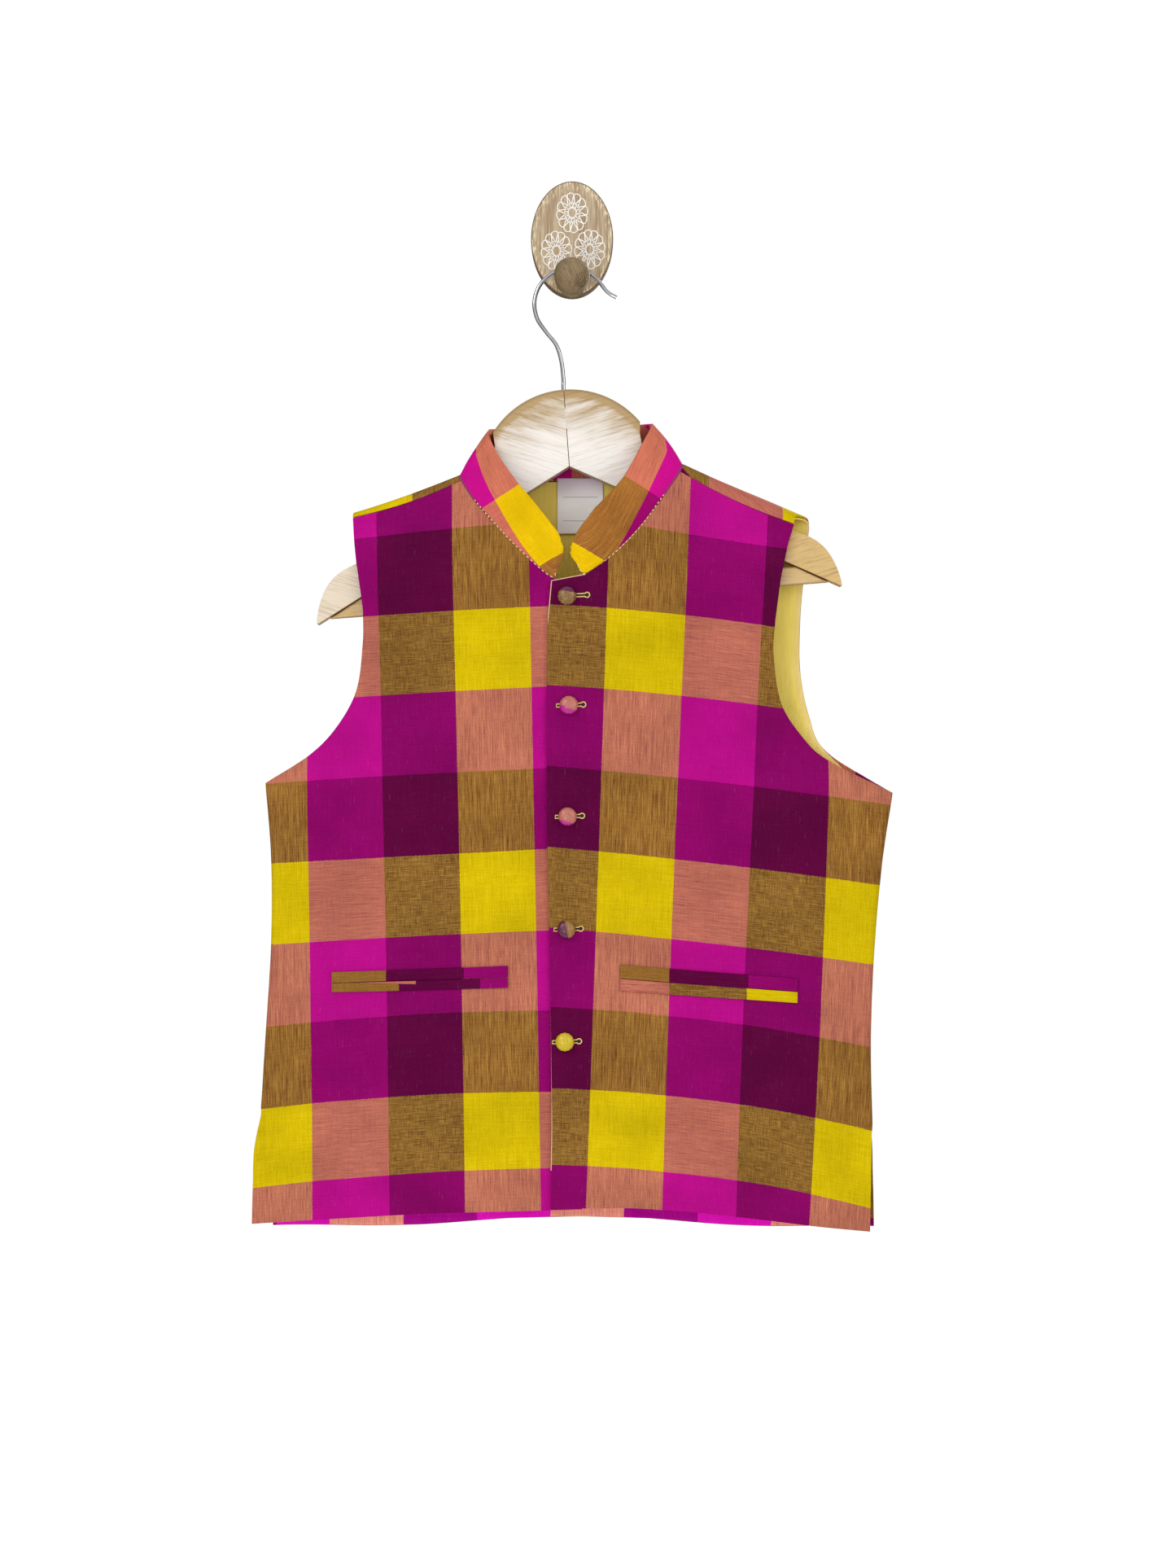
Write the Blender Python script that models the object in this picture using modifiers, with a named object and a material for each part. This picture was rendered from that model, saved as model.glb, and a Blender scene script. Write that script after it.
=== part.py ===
# Child's bandi waistcoat on a wooden hanger that hangs on a wall knob
# The tables are in millimetres, and MM turns them into Blender's metres.
# The wall is the plane y = 0, and the wearer would face -y. Left and right in the
# tables are the viewer's, while the node names of cloth pieces are the wearer's.
import math

import bmesh
import bpy
from mathutils import Matrix, Vector

MM = 0.001
GAP = 0.3
NAME = "bandi_waistcoat_on_hanger"

# Cloth thickness
FRONT_THICK = 1.5
BACK_THICK = 1.2
LINING_THICK = 1.0
WELT_THICK = 1.0
LABEL_THICK = 0.8
# Extra room between the back and its lining over the hanger's arms
LINING_EASE = 0.35
# How far the lining's edge lies inside the back's, and how much further beside the side seam
LINING_EDGE = 0.3
LINING_SIDE_EDGE = 4.6
COLLAR_THICK = 2.4
# Space between the neck seam's edge and the collar's lower edge, along the collar
COLLAR_CLEAR = 1.3
COLLAR_BULGE = 1.1
# How far the collar's middle lies inside the line of its tables
COLLAR_INSET = 0.6
# Grid rows of a collar nose, which lie flat
NOSE_ROWS = 6

# Depths, as y of the middle of a cloth wall
SEAM_Y = -21.5
SHOULDER_BACK_Y = -6.8
VENT_FRONT_Y = -24.0
VENT_BACK_Y = -13.0
ARMHOLE_FRONT_Y = -26.0
BACK_CENTRE_Y = -4.8
OVERLAP_LIFT = FRONT_THICK + GAP
OVERLAP_FLAT = 17.0
OVERLAP_END = 45.0
CENTRE_X = -3.0
BACK_CENTRE_X = 5.0
SIDE_ROUND = 3.2
# Half the space between front and back at the side seam, and where they lie face to face
SEAM_HALF = 0.36
OPEN_HALF = 1.25

# How far a front's rows bow up below the underarm: middle, and skew to one side
HEM_BOW = {"left": (2.2, 0.0), "right": (4.6, -1.4)}
# How far the back's hem hangs below its row, and how full the back's curve is
BACK_SAG = 2.6
BACK_FULLNESS = 2.6

# Front levels: name, left x, left z, right x, right z, under edge x, under edge z,
# over edge x, over edge z, centre y. The edges run up the fronts and round the neck.
FRONT_LEVELS = (
    ("hem", -186.6, -578.0, 173.8, -582.5, 6.0, -566.2, -11.9, -566.0, -46.0),
    ("vent low", -186.0, -555.0, 174.2, -559.0, 6.0, -543.5, -11.6, -543.5, -46.5),
    ("vent bend", -185.3, -534.0, 174.7, -539.0, 6.0, -523.0, -11.2, -523.0, -47.0),
    ("vent top", -181.2, -513.5, 175.1, -523.0, 6.0, -503.0, -11.3, -503.0, -47.5),
    ("hip", -178.3, -466.0, 174.1, -473.0, 6.0, -457.0, -11.9, -457.0, -48.6),
    ("waist", -175.2, -414.0, 176.2, -419.0, 6.0, -407.0, -12.9, -407.0, -49.7),
    ("chest", -175.2, -365.0, 180.8, -367.0, 6.0, -361.0, -13.7, -361.0, -50.8),
    ("underarm", -178.5, -321.0, 186.8, -326.7, 6.0, -318.0, -14.2, -318.0, -52.5),
    ("arm low", -153.3, -305.0, 150.4, -308.7, 6.0, -296.0, -14.4, -296.0, -53.6),
    ("arm bend", -137.5, -289.0, 135.0, -295.2, 6.0, -274.0, -14.3, -274.0, -54.6),
    ("arm mid", -125.5, -267.5, 121.8, -274.5, 6.0, -252.0, -14.0, -252.0, -55.4),
    ("arm narrow", -121.6, -240.0, 117.3, -246.0, 6.0, -230.0, -13.3, -230.0, -56.0),
    ("neck corner", -121.4, -221.0, 118.3, -226.0, 6.0, -208.0, -11.3, -205.6, -56.0),
    ("collar end", -122.6, -211.0, 119.8, -214.5, -11.7, -203.4, 7.9, -202.0, -56.0),
    ("neck bend", -124.3, -200.0, 121.4, -203.0, -29.0, -188.7, 23.6, -190.6, -53.0),
    ("neck mid", -125.8, -190.0, 123.8, -191.5, -45.0, -171.5, 39.5, -174.0, -44.5),
    ("neck high", -127.0, -178.0, 126.2, -181.0, -56.5, -157.5, 53.5, -154.5, -34.5),
    ("shoulder", -127.7, -166.4, 129.6, -170.2, -64.6, -145.1, 63.3, -139.8, -25.9),
)
FRONT_BREAKS = ("vent top", "underarm", "neck corner", "collar end")

# Back levels: name, left x, left z, right x, right z, left inner x, left inner z,
# right inner x, right inner z. Inner is the centre line, then the neck seam.
BACK_LEVELS = (
    ("hem", -176.0, -581.0, 177.7, -581.5, 5.0, -577.0, 5.0, -577.0),
    ("vent low", -177.5, -557.0, 177.3, -559.0, 5.0, -554.0, 5.0, -554.0),
    ("vent bend", -179.2, -535.0, 176.4, -540.0, 5.0, -531.0, 5.0, -531.0),
    ("vent top", -181.2, -513.5, 175.1, -523.0, 5.0, -512.0, 5.0, -512.0),
    ("hip", -178.3, -466.0, 174.1, -473.0, 5.0, -462.0, 5.0, -462.0),
    ("waist", -175.2, -414.0, 176.2, -419.0, 5.0, -411.0, 5.0, -411.0),
    ("chest", -175.2, -365.0, 180.8, -367.0, 5.0, -363.0, 5.0, -363.0),
    ("underarm", -178.5, -321.0, 186.8, -326.7, 5.0, -320.0, 5.0, -320.0),
    ("arm low", -134.0, -301.5, 149.2, -302.6, 5.0, -296.0, 5.0, -296.0),
    ("arm bend", -121.0, -280.0, 139.5, -281.5, 5.0, -267.0, 5.0, -267.0),
    ("arm mid", -115.6, -253.0, 134.6, -254.0, 5.0, -232.0, 5.0, -232.0),
    ("blade", -116.1, -222.0, 134.8, -223.0, 5.0, -190.0, 5.0, -190.0),
    ("neck centre", -117.6, -200.0, 136.8, -200.0, 5.0, -143.0, 5.0, -143.0),
    ("neck side", -119.3, -184.0, 138.4, -184.0, -34.0, -144.2, 40.0, -142.6),
    ("shoulder base", -121.0, -167.5, 140.0, -170.5, -61.5, -145.5, 62.0, -140.0),
)
BACK_BREAKS = ("vent top", "underarm", "neck centre")

# Shoulder crest, over the hanger's arms: outer end z, inner end x, inner end z
CRESTS = {
    "left": (-163.6, -65.0, -141.6),
    "right": (-164.6, 65.0, -135.0),
}
CREST_ROUND = 3.0
SEAM_SAG = 2.2

# Soft folds of the fronts: x at the hem, x at the chest, top z, depth, half width
FOLDS = (
    (-128.0, -118.0, -330.0, 1.5, 20.0),
    (-74.0, -72.0, -380.0, -1.4, 18.0),
    (52.0, 58.0, -360.0, 1.7, 19.0),
    (118.0, 108.0, -340.0, -1.6, 21.0),
)

# Collar top edge at each neck station: name, x, y, z
COLLAR_LEFT_TOP = (
    ("collar end", -10.6, -57.5, -173.5),
    ("neck bend", -20.7, -52.5, -161.0),
    ("neck mid", -32.5, -41.5, -145.8),
    ("neck high", -43.0, -30.0, -130.0),
    ("shoulder", -48.2, -22.5, -119.5),
)
COLLAR_RIGHT_TOP = (
    ("collar end", 12.0, -57.5, -166.0),
    ("neck bend", 18.4, -52.5, -158.5),
    ("neck mid", 30.4, -41.5, -143.7),
    ("neck high", 40.5, -30.0, -124.6),
    ("shoulder", 45.6, -22.5, -114.6),
)
# Collar noses, in front of the collar end: name, lower x, lower z, upper x, upper z
NOSE_LEFT = (
    ("nose bend", -7.6, -198.3, -6.4, -179.2),
    ("nose side", -5.3, -193.0, -4.6, -184.2),
    ("nose", -4.5, -190.6, -4.3, -186.8),
)
NOSE_RIGHT = (
    ("nose bend", 3.2, -196.6, 4.4, -176.3),
    ("nose side", 1.0, -193.4, 1.0, -182.8),
    ("nose", 0.3, -190.5, 0.2, -186.4),
)
# Collar over the crests and behind the neck: side, level of the back, turn over the
# crest, top x, top y, top z
COLLAR_BACK = (
    ("left", "shoulder base", 0.85, -48.6, -19.0, -116.2),
    ("left", "shoulder base", 0.5, -48.4, -14.0, -113.6),
    ("left", "shoulder base", 0.15, -47.0, -9.6, -112.6),
    ("left", "shoulder base", 0.0, -43.0, -7.4, -112.2),
    ("left", "neck side", 0.0, -23.0, -6.9, -112.0),
    ("right", "neck centre", 0.0, 1.5, -6.7, -111.6),
    ("right", "neck side", 0.0, 24.0, -6.9, -110.4),
    ("right", "shoulder base", 0.0, 42.5, -7.4, -109.4),
    ("right", "shoulder base", 0.15, 46.2, -9.6, -109.6),
    ("right", "shoulder base", 0.5, 47.0, -14.0, -110.2),
    ("right", "shoulder base", 0.85, 46.8, -19.0, -111.6),
)
# Collar stations between which the edges run straight, beside each crest
COLLAR_STRAIGHT = (7, 8, 9, 10, 11, 15, 16, 17, 18, 19)

# Hanger, in its own frame: x along the arms, z up, origin at the dome's centre
HANGER_CENTRE = (-0.9, -144.2)
HANGER_TILT = math.radians(4.2)
HANGER_BACK_Y = -11.0
HANGER_THICK = 12.0
DOME_RADIUS = 53.3
NOTCH_Z = 8.35
ARM_SLOPE = 0.5292
ARM_TOP_Z = 28.72
SHOULDER_RISE = 5.2
TIP_X = 153.9
# The dome's arc ends at this angle, and its flank goes down to the arm inside the collar
DOME_END = 36.0
NECK_FLANK = [(65.0, 0.2), (58.0, 0.6), (51.5, 2.5), (46.4, 7.6), (43.7, 15.0), (42.6, 24.0)]
# Top edge of the horn: distance out, height
HORN = (
    (129.3, -39.6),
    (138.4, -43.8),
    (145.8, -50.5),
    (150.6, -59.3),
    (153.2, -67.8),
    (153.9, -72.9),
)
HANGER_BEVEL = 2.2
BAR_X = 147.0
BAR_HEIGHT = 10.5
BAR_DEPTH = 8.5
BAR_Y = -17.0

# Wire hook: x, z of its route, at one depth
HOOK_Y = -17.0
HOOK_RADIUS = 1.2
HOOK_SINK = 10.0
HOOK_ROUTE = (
    (26.3, -36.2),
    (22.3, -34.0),
    (19.2, -31.0),
    (15.1, -26.0),
    (8.6, -21.2),
    (-0.5, -19.0),
    (-10.6, -21.7),
    (-18.6, -28.6),
    (-22.0, -38.6),
    (-20.4, -48.4),
    (-14.9, -56.6),
    (-9.3, -63.8),
    (-6.3, -73.0),
    (-5.0, -84.0),
)

# Wall plate and turned knob
PLATE_WIDTH = 48.5
PLATE_HEIGHT = 68.2
PLATE_THICK = 9.0
KNOB_Z = -26.5
# Knob profile: distance from its axis, y from the plate's face
KNOB_PROFILE = (
    (0.0, 0.3),
    (8.2, 0.3),
    (8.2, 1.6),
    (6.6, 3.2),
    (6.0, 6.0),
    (6.0, 10.5),
    (6.9, 13.0),
    (9.2, 15.0),
    (10.3, 18.5),
    (10.3, 26.0),
    (9.6, 30.5),
    (7.2, 34.2),
    (3.8, 36.3),
    (0.0, 37.0),
)

# Pockets: name, side, left end x, top z, right end x, top z, height at left, at right
POCKETS = (
    ("pocket_right", "left", -138.6, -430.5, -36.5, -425.8, 11.6, 12.6),
    ("pocket_left", "right", 27.7, -425.0, 130.6, -434.3, 15.0, 14.1),
)

# Buttons, from the neck down: x, z
BUTTONS = (
    (-2.5, -214.0),
    (-1.5, -276.4),
    (-2.2, -340.0),
    (-2.9, -404.7),
    (-3.9, -469.4),
)
# Button profile: distance from its axis, height over its back
BUTTON_PROFILE = (
    (0.0, 0.0),
    (3.9, 0.0),
    (5.0, 0.7),
    (5.35, 1.7),
    (4.9, 3.0),
    (3.4, 4.1),
    (1.7, 4.6),
    (0.0, 4.75),
)

# Label on the lining: left x, right x, top z, bottom z
LABEL = (-8.6, 18.3, -146.4, -174.0)
FACING_HEIGHT = 23.0

# Grid sizes of the cloth
ROW_STEP = 17.0
# Turns over a shoulder crest at which the back has rows
CREST_TURNS = (0.12, 0.3, 0.5, 0.7, 0.88, 1.0)
ROUND_COLUMNS = 3
FRONT_COLUMNS = 11
BACK_COLUMNS = 9


def clear_scene():
    for item in list(bpy.data.objects):
        bpy.data.objects.remove(item, do_unlink=True)
    for group in list(bpy.data.collections):
        bpy.data.collections.remove(group)


def new_collection(name):
    group = bpy.data.collections.new(name)
    bpy.context.scene.collection.children.link(group)
    return group


def make_material(name, colour, roughness, metallic=0.0):
    material = bpy.data.materials.new(name)
    material.use_nodes = True
    shader = material.node_tree.nodes["Principled BSDF"]
    shader.inputs["Base Color"].default_value = (*colour, 1.0)
    shader.inputs["Roughness"].default_value = roughness
    shader.inputs["Metallic"].default_value = metallic
    return material


def add_object(group, name, data, material):
    item = bpy.data.objects.new(name, data)
    group.objects.link(item)
    item.data.materials.append(material)
    return item


def mix(a, b, share):
    return a + (b - a) * share


def smooth(share):
    share = min(1.0, max(0.0, share))
    return share * share * (3.0 - 2.0 * share)


# A table's column as a smooth curve over its row numbers, with a corner at each break
def curve_value(values, breaks, place):
    last = len(values) - 1
    i = min(last - 1, max(0, int(math.floor(place))))
    t = place - i

    def slope(k, side):
        if k == 0 or (k in breaks and side > 0):
            return values[k + 1] - values[k]
        if k == last or (k in breaks and side < 0):
            return values[k] - values[k - 1]
        return (values[k + 1] - values[k - 1]) / 2.0

    a, b = values[i], values[i + 1]
    ma, mb = slope(i, 1), slope(i + 1, -1)
    t2, t3 = t * t, t * t * t
    return (
        (2 * t3 - 3 * t2 + 1) * a
        + (t3 - 2 * t2 + t) * ma
        + (3 * t2 - 2 * t3) * b
        + (t3 - t2) * mb
    )


class Levels:
    """The rows of a panel's table, read at any place between them."""

    def __init__(self, table, breaks):
        self.names = [row[0] for row in table]
        self.columns = list(zip(*[row[1:] for row in table]))
        self.breaks = {self.names.index(name) for name in breaks}
        self.last = len(table) - 1

    def at(self, column, place):
        return curve_value(self.columns[column], self.breaks, place)

    def row(self, name):
        return self.names.index(name)


FRONT = Levels(FRONT_LEVELS, FRONT_BREAKS)
BACK = Levels(BACK_LEVELS, BACK_BREAKS)


# Rounding of the side seam, none at the vent and the armhole
def side_round(levels, place):
    top = levels.row("underarm")
    bottom = levels.row("vent top")
    return SIDE_ROUND * smooth((place - bottom) / 0.3) * smooth((top - place) / 0.3)


def round_depth(radius, distance):
    if radius < 0.01 or distance >= radius:
        return radius
    return math.sqrt(max(0.0, radius * radius - (radius - distance) ** 2))


def fold_depth(x, z):
    total = 0.0
    for hem_x, chest_x, top_z, depth, half in FOLDS:
        down = (z + 300.0) / -280.0
        middle = mix(chest_x, hem_x, down)
        total += depth * smooth((top_z - z) / 110.0) * math.exp(-(((x - middle) / half) ** 2))
    return total


# How far a wall stands off the seam's middle: edge to edge where the side is rounded
def seam_offset(radius, distance):
    half = mix(OPEN_HALF, SEAM_HALF, radius / SIDE_ROUND)
    return half * (1.0 - smooth(distance / 60.0))


# y of a front's outer edge: side seam, vent or armhole
def front_edge_y(place):
    vent, underarm = FRONT.row("vent top"), FRONT.row("underarm")
    narrow = FRONT.row("arm narrow")
    if place < vent:
        return mix(SEAM_Y, VENT_FRONT_Y, smooth((vent - place) / 2.0))
    if place > underarm:
        return mix(SEAM_Y, ARMHOLE_FRONT_Y, smooth((place - underarm) / (narrow - underarm)))
    return SEAM_Y


# A point of a front: side is left or right, u runs from its outer to its inner edge
def front_point(side, place, u):
    first = 0 if side == "left" else 2
    outer = Vector((FRONT.at(first, place), 0.0, FRONT.at(first + 1, place)))
    inner = Vector((FRONT.at(first + 4, place), 0.0, FRONT.at(first + 5, place)))
    spot = outer.lerp(inner, u)
    low = smooth(1.0 - place / FRONT.row("underarm"))
    lift, skew = HEM_BOW[side]
    spot.z += low * (lift * math.sin(math.pi * u) + skew * math.sin(2 * math.pi * u))
    high = smooth((place - FRONT.row("neck mid")) / 2.0)
    spot.z -= high * SEAM_SAG * math.sin(math.pi * u)
    half_width = abs(outer.x - CENTRE_X)
    across = (abs(spot.x - CENTRE_X) - OVERLAP_FLAT) / (half_width - OVERLAP_FLAT)
    across = min(1.0, max(0.0, across))
    edge_y = front_edge_y(place)
    radius = side_round(FRONT, place)
    distance = abs(spot.x - outer.x)
    crown = FRONT.at(8, place) - edge_y + radius
    spot.y = edge_y - round_depth(radius, distance) + crown * math.cos(across * math.pi / 2)
    inward = smooth(distance / 40.0)
    spot.y -= fold_depth(spot.x, spot.z) * inward * smooth((abs(spot.x - CENTRE_X) - 14.0) / 30.0)
    spot.y -= seam_offset(radius, distance) * (place < FRONT.row("neck bend"))
    if side == "right":
        beside = (spot.x - CENTRE_X - OVERLAP_FLAT) / (OVERLAP_END - OVERLAP_FLAT)
        low_part = smooth((FRONT.row("neck mid") - place) / 1.5)
        spot.y -= OVERLAP_LIFT * (1.0 - smooth(beside)) * low_part
    return spot


# y of the back's outer edge
def back_edge_y(place):
    vent, underarm = BACK.row("vent top"), BACK.row("underarm")
    if place < vent:
        return mix(SEAM_Y, VENT_BACK_Y, smooth((vent - place) / 2.0))
    if place > underarm:
        return mix(SEAM_Y, SHOULDER_BACK_Y, smooth((place - underarm) / 3.5))
    return SEAM_Y


# A point of a back half, or of what lies inside it by an inset on the shoulder. Places
# past the last row run over the crest.
def back_point(side, place, u, inset=0.0):
    if place > BACK.last:
        return crest_point(side, place - BACK.last, u, inset)
    first = 0 if side == "left" else 2
    outer = Vector((BACK.at(first, place), 0.0, BACK.at(first + 1, place)))
    inner = Vector((BACK.at(first + 4, place), 0.0, BACK.at(first + 5, place)))
    spot = outer.lerp(inner, u)
    low = smooth(1.0 - place / BACK.row("vent top"))
    spot.z -= low * BACK_SAG * math.sin(math.pi * u) * math.sin(math.pi * min(1.0, 1.3 * u))
    edge_y = back_edge_y(place)
    radius = side_round(BACK, place)
    distance = abs(spot.x - outer.x)
    centre_y = mix(BACK_CENTRE_Y, SHOULDER_BACK_Y, smooth((place - BACK.row("underarm")) / 5.0))
    crown = centre_y - edge_y - radius
    spot.y = edge_y + round_depth(radius, distance) + crown * (1.0 - (1.0 - u) ** BACK_FULLNESS)
    spot.y += seam_offset(radius, distance) * smooth((BACK.row("blade") - place) / 2.0)
    return spot


# The strip of the back that wraps over the arm and comes down to the shoulder seam
def crest_point(side, turn, u, inset):
    outer_z, inner_x, inner_z = CRESTS[side]
    angle = math.pi * min(1.0, turn)
    power = 2.0 / CREST_ROUND
    share = (1.0 - math.copysign(abs(math.cos(angle)) ** power, math.cos(angle))) / 2.0
    rise = abs(math.sin(angle)) ** power
    base = back_point(side, BACK.last, u)
    seam = front_point(side, FRONT.last, u)
    seam.z += GAP + 0.1
    base.y -= inset
    seam.y += inset
    spot = base.lerp(seam, share)
    middle = base.lerp(seam, 0.5)
    neck_x = back_point(side, BACK.last, 1.0).x + front_point(side, FRONT.last, 1.0).x
    spot.x += u * (inner_x - neck_x / 2.0) * rise
    spot.z += (mix(outer_z, inner_z, u) - inset - middle.z) * rise
    return spot


# The unit normal of a surface function, by small steps
def surface_normal(point, place, u, last):
    step = 0.01
    a, b = max(0.0, place - step), min(last, place + step)
    c, d = max(0.0, u - step), min(1.0, u + step)
    along = point(b, u) - point(a, u)
    across = point(place, d) - point(place, c)
    return along.cross(across).normalized()


# Places of the grid rows, with each stretch between levels cut to about the row step
def row_places(point, levels):
    places = [0.0]
    for start in range(levels.last):
        stop = start + 1
        length = max((point(stop, u) - point(start, u)).length for u in (0.0, 1.0))
        count = max(2, round(length / ROW_STEP))
        places += [mix(start, stop, (k + 1) / count) for k in range(count)]
    return places


# Column positions of one row: close together at the rounded side, then even
def column_places(width, columns):
    near = [
        SIDE_ROUND * (1.0 - math.cos(k * math.pi / 2 / ROUND_COLUMNS)) / width
        for k in range(ROUND_COLUMNS)
    ]
    edge = SIDE_ROUND / width
    return near + [mix(edge, 1.0, k / columns) for k in range(columns + 1)]


# A grid mesh whose points are placed by rows
def grid_object(group, name, rows, material, thickness):
    across, up = len(rows[0]), len(rows)
    mesh = bpy.data.meshes.new(name)
    work = bmesh.new()
    bmesh.ops.create_grid(work, x_segments=across - 1, y_segments=up - 1, size=1.0)
    work.verts.ensure_lookup_table()
    for j, row in enumerate(rows):
        for i, spot in enumerate(row):
            work.verts[j * across + i].co = spot * MM
    work.to_mesh(mesh)
    work.free()
    item = add_object(group, name, mesh, material)
    solid = item.modifiers.new("Cloth thickness", "SOLIDIFY")
    solid.thickness = thickness * MM
    solid.offset = 0.0
    solid.use_even_offset = True
    return item


def front_panel(group, name, side, material):
    def point(place, u):
        return front_point(side, place, u)

    rows = []
    for place in row_places(point, FRONT):
        width = (point(place, 1.0) - point(place, 0.0)).length
        rows.append([point(place, u) for u in column_places(width, FRONT_COLUMNS)])
    return grid_object(group, name, rows, material, FRONT_THICK)


def back_places():
    places = row_places(lambda p, u: back_point("right", p, u), BACK)
    return places + [BACK.last + turn for turn in CREST_TURNS]


# Both back halves, joined at the centre line below the neck
def back_panel(group, material):
    meshes = []
    for side in ("left", "right"):
        rows = []
        for place in back_places():
            width = (back_point(side, place, 1.0) - back_point(side, place, 0.0)).length
            rows.append([back_point(side, place, u) for u in column_places(width, BACK_COLUMNS)])
        meshes.append(grid_object(group, "back_" + side, rows, material, BACK_THICK))
    return join_halves(meshes, "back_panel")


def join_halves(items, name):
    work = bmesh.new()
    for item in items:
        work.from_mesh(item.data)
    bmesh.ops.remove_doubles(work, verts=work.verts, dist=0.05 * MM)
    bmesh.ops.recalc_face_normals(work, faces=work.faces)
    work.to_mesh(items[0].data)
    work.free()
    data = items[1].data
    bpy.data.objects.remove(items[1], do_unlink=True)
    bpy.data.meshes.remove(data)
    items[0].name = name
    items[0].data.name = name
    return items[0]


# The lining lies inside the back, from the top of the hem facing to the shoulder seam
def lining_point(side, place, u):
    low = 1.0 - smooth((place - BACK.row("underarm") - 0.4) / 0.6)
    edge = LINING_EDGE + LINING_SIDE_EDGE * low
    width = (back_point(side, place, 1.0) - back_point(side, place, 0.0)).length
    u = mix(edge / width, 1.0, u)
    return moved_in(side, place, u, BACK_THICK / 2 + GAP + LINING_THICK / 2)


def moved_in(side, place, u, distance):
    if place > BACK.last:
        return back_point(side, place, u, distance + LINING_EASE)

    def point(a, b):
        return back_point(side, a, b)

    normal = surface_normal(point, place, u, BACK.last)
    if side == "left":
        normal = -normal
    ease = LINING_EASE * smooth(place - BACK.last + 1.0)
    spot = point(place, u) + normal * (distance + ease)
    if u > 0.9999 and place <= BACK.row("neck centre"):
        spot.x = BACK_CENTRE_X
    return spot


def facing_top(side):
    target = back_point(side, 0.0, 1.0).z + FACING_HEIGHT
    low, high = 0.0, 3.0
    for _ in range(30):
        middle = (low + high) / 2
        if back_point(side, middle, 1.0).z < target:
            low = middle
        else:
            high = middle
    return low


def back_lining(group, material):
    meshes = []
    for side in ("left", "right"):
        first = facing_top(side) + 0.02
        places = [first] + [p for p in back_places() if p > first + 0.2]
        rows = [[lining_point(side, p, k / 7) for k in range(8)] for p in places]
        meshes.append(grid_object(group, "lining_" + side, rows, material, LINING_THICK))
    return join_halves(meshes, "back_lining")


def back_hem_facing(group, material):
    meshes = []
    inward = BACK_THICK / 2 + GAP + LINING_THICK / 2
    for side in ("left", "right"):
        top = facing_top(side)
        rows = []
        for share in (0.0, 0.5, 1.0):
            place = mix(0.02, top, share)
            rows.append([moved_in(side, place, mix(0.012, 1.0, k / 9), inward) for k in range(10)])
        meshes.append(grid_object(group, "facing_" + side, rows, material, LINING_THICK))
    return join_halves(meshes, "back_hem_facing")


# The place and u at which a front has a given x and z
def locate(point, x, z, low, high):
    for _ in range(40):
        place = (low + high) / 2
        outer, inner = point(place, 0.0), point(place, 1.0)
        u = (x - outer.x) / (inner.x - outer.x)
        if point(place, u).z < z:
            low = place
        else:
            high = place
    return place, u


def front_surface(side, x, z, distance):
    def point(a, b):
        return front_point(side, a, b)

    place, u = locate(point, x, z, 0.0, FRONT.row("neck corner"))
    normal = surface_normal(point, place, u, FRONT.last)
    if normal.y > 0:
        normal = -normal
    return point(place, u) + normal * distance, normal


def pocket_welts(group, material):
    out = FRONT_THICK / 2 + GAP + WELT_THICK / 2
    for name, side, left_x, left_z, right_x, right_z, left_high, right_high in POCKETS:
        for part, top, bottom in (("upper", 0.0, 0.52), ("lower", 0.55, 1.0)):
            rows = []
            for share in (bottom, (top + bottom) / 2, top):
                row = []
                for k in range(11):
                    x = mix(left_x, right_x, k / 10)
                    high = mix(left_high, right_high, k / 10)
                    z = mix(left_z, right_z, k / 10) - share * high
                    row.append(front_surface(side, x, z, out)[0])
                rows.append(row)
            grid_object(group, f"{name}_{part}", rows, material, WELT_THICK)


def neck_label(group, material):
    left, right, top, bottom = LABEL
    y = SHOULDER_BACK_Y - BACK_THICK / 2 - GAP - LINING_THICK - GAP - LABEL_THICK / 2 - 0.1
    bpy.ops.mesh.primitive_cube_add(size=1.0)
    item = bpy.context.object
    item.name = item.data.name = "neck_label"
    item.scale = ((right - left) * MM, LABEL_THICK * MM, (top - bottom) * MM)
    item.location = Vector(((left + right) / 2, y, (top + bottom) / 2)) * MM
    move_to(group, item, material)


def move_to(group, item, material):
    for holder in list(item.users_collection):
        holder.objects.unlink(item)
    group.objects.link(item)
    item.data.materials.append(material)


# Stations of the collar, from the left nose round the back to the right nose
def collar_stations():
    left, right = side_stations("left"), side_stations("right")
    back = []
    for side, level, turn, x, y, z in COLLAR_BACK:
        low = back_point(side, BACK.row(level) + turn, 1.0)
        back.append((low, Vector((x, y, z))))
    return left + back + right[::-1]


def side_stations(side):
    nose = NOSE_LEFT if side == "left" else NOSE_RIGHT
    tops = COLLAR_LEFT_TOP if side == "left" else COLLAR_RIGHT_TOP
    seam_y = front_point(side, FRONT.row("collar end"), 1.0).y
    stations = []
    for name, low_x, low_z, high_x, high_z in reversed(nose):
        low = Vector((low_x, seam_y - 0.4, low_z))
        stations.append((low, Vector((high_x, seam_y - 1.4, high_z))))
    for name, x, y, z in tops:
        low = front_point(side, FRONT.row(name), 1.0)
        stations.append((low, Vector((x, min(y, seam_y) if name == "collar end" else y, z))))
    return stations


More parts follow.
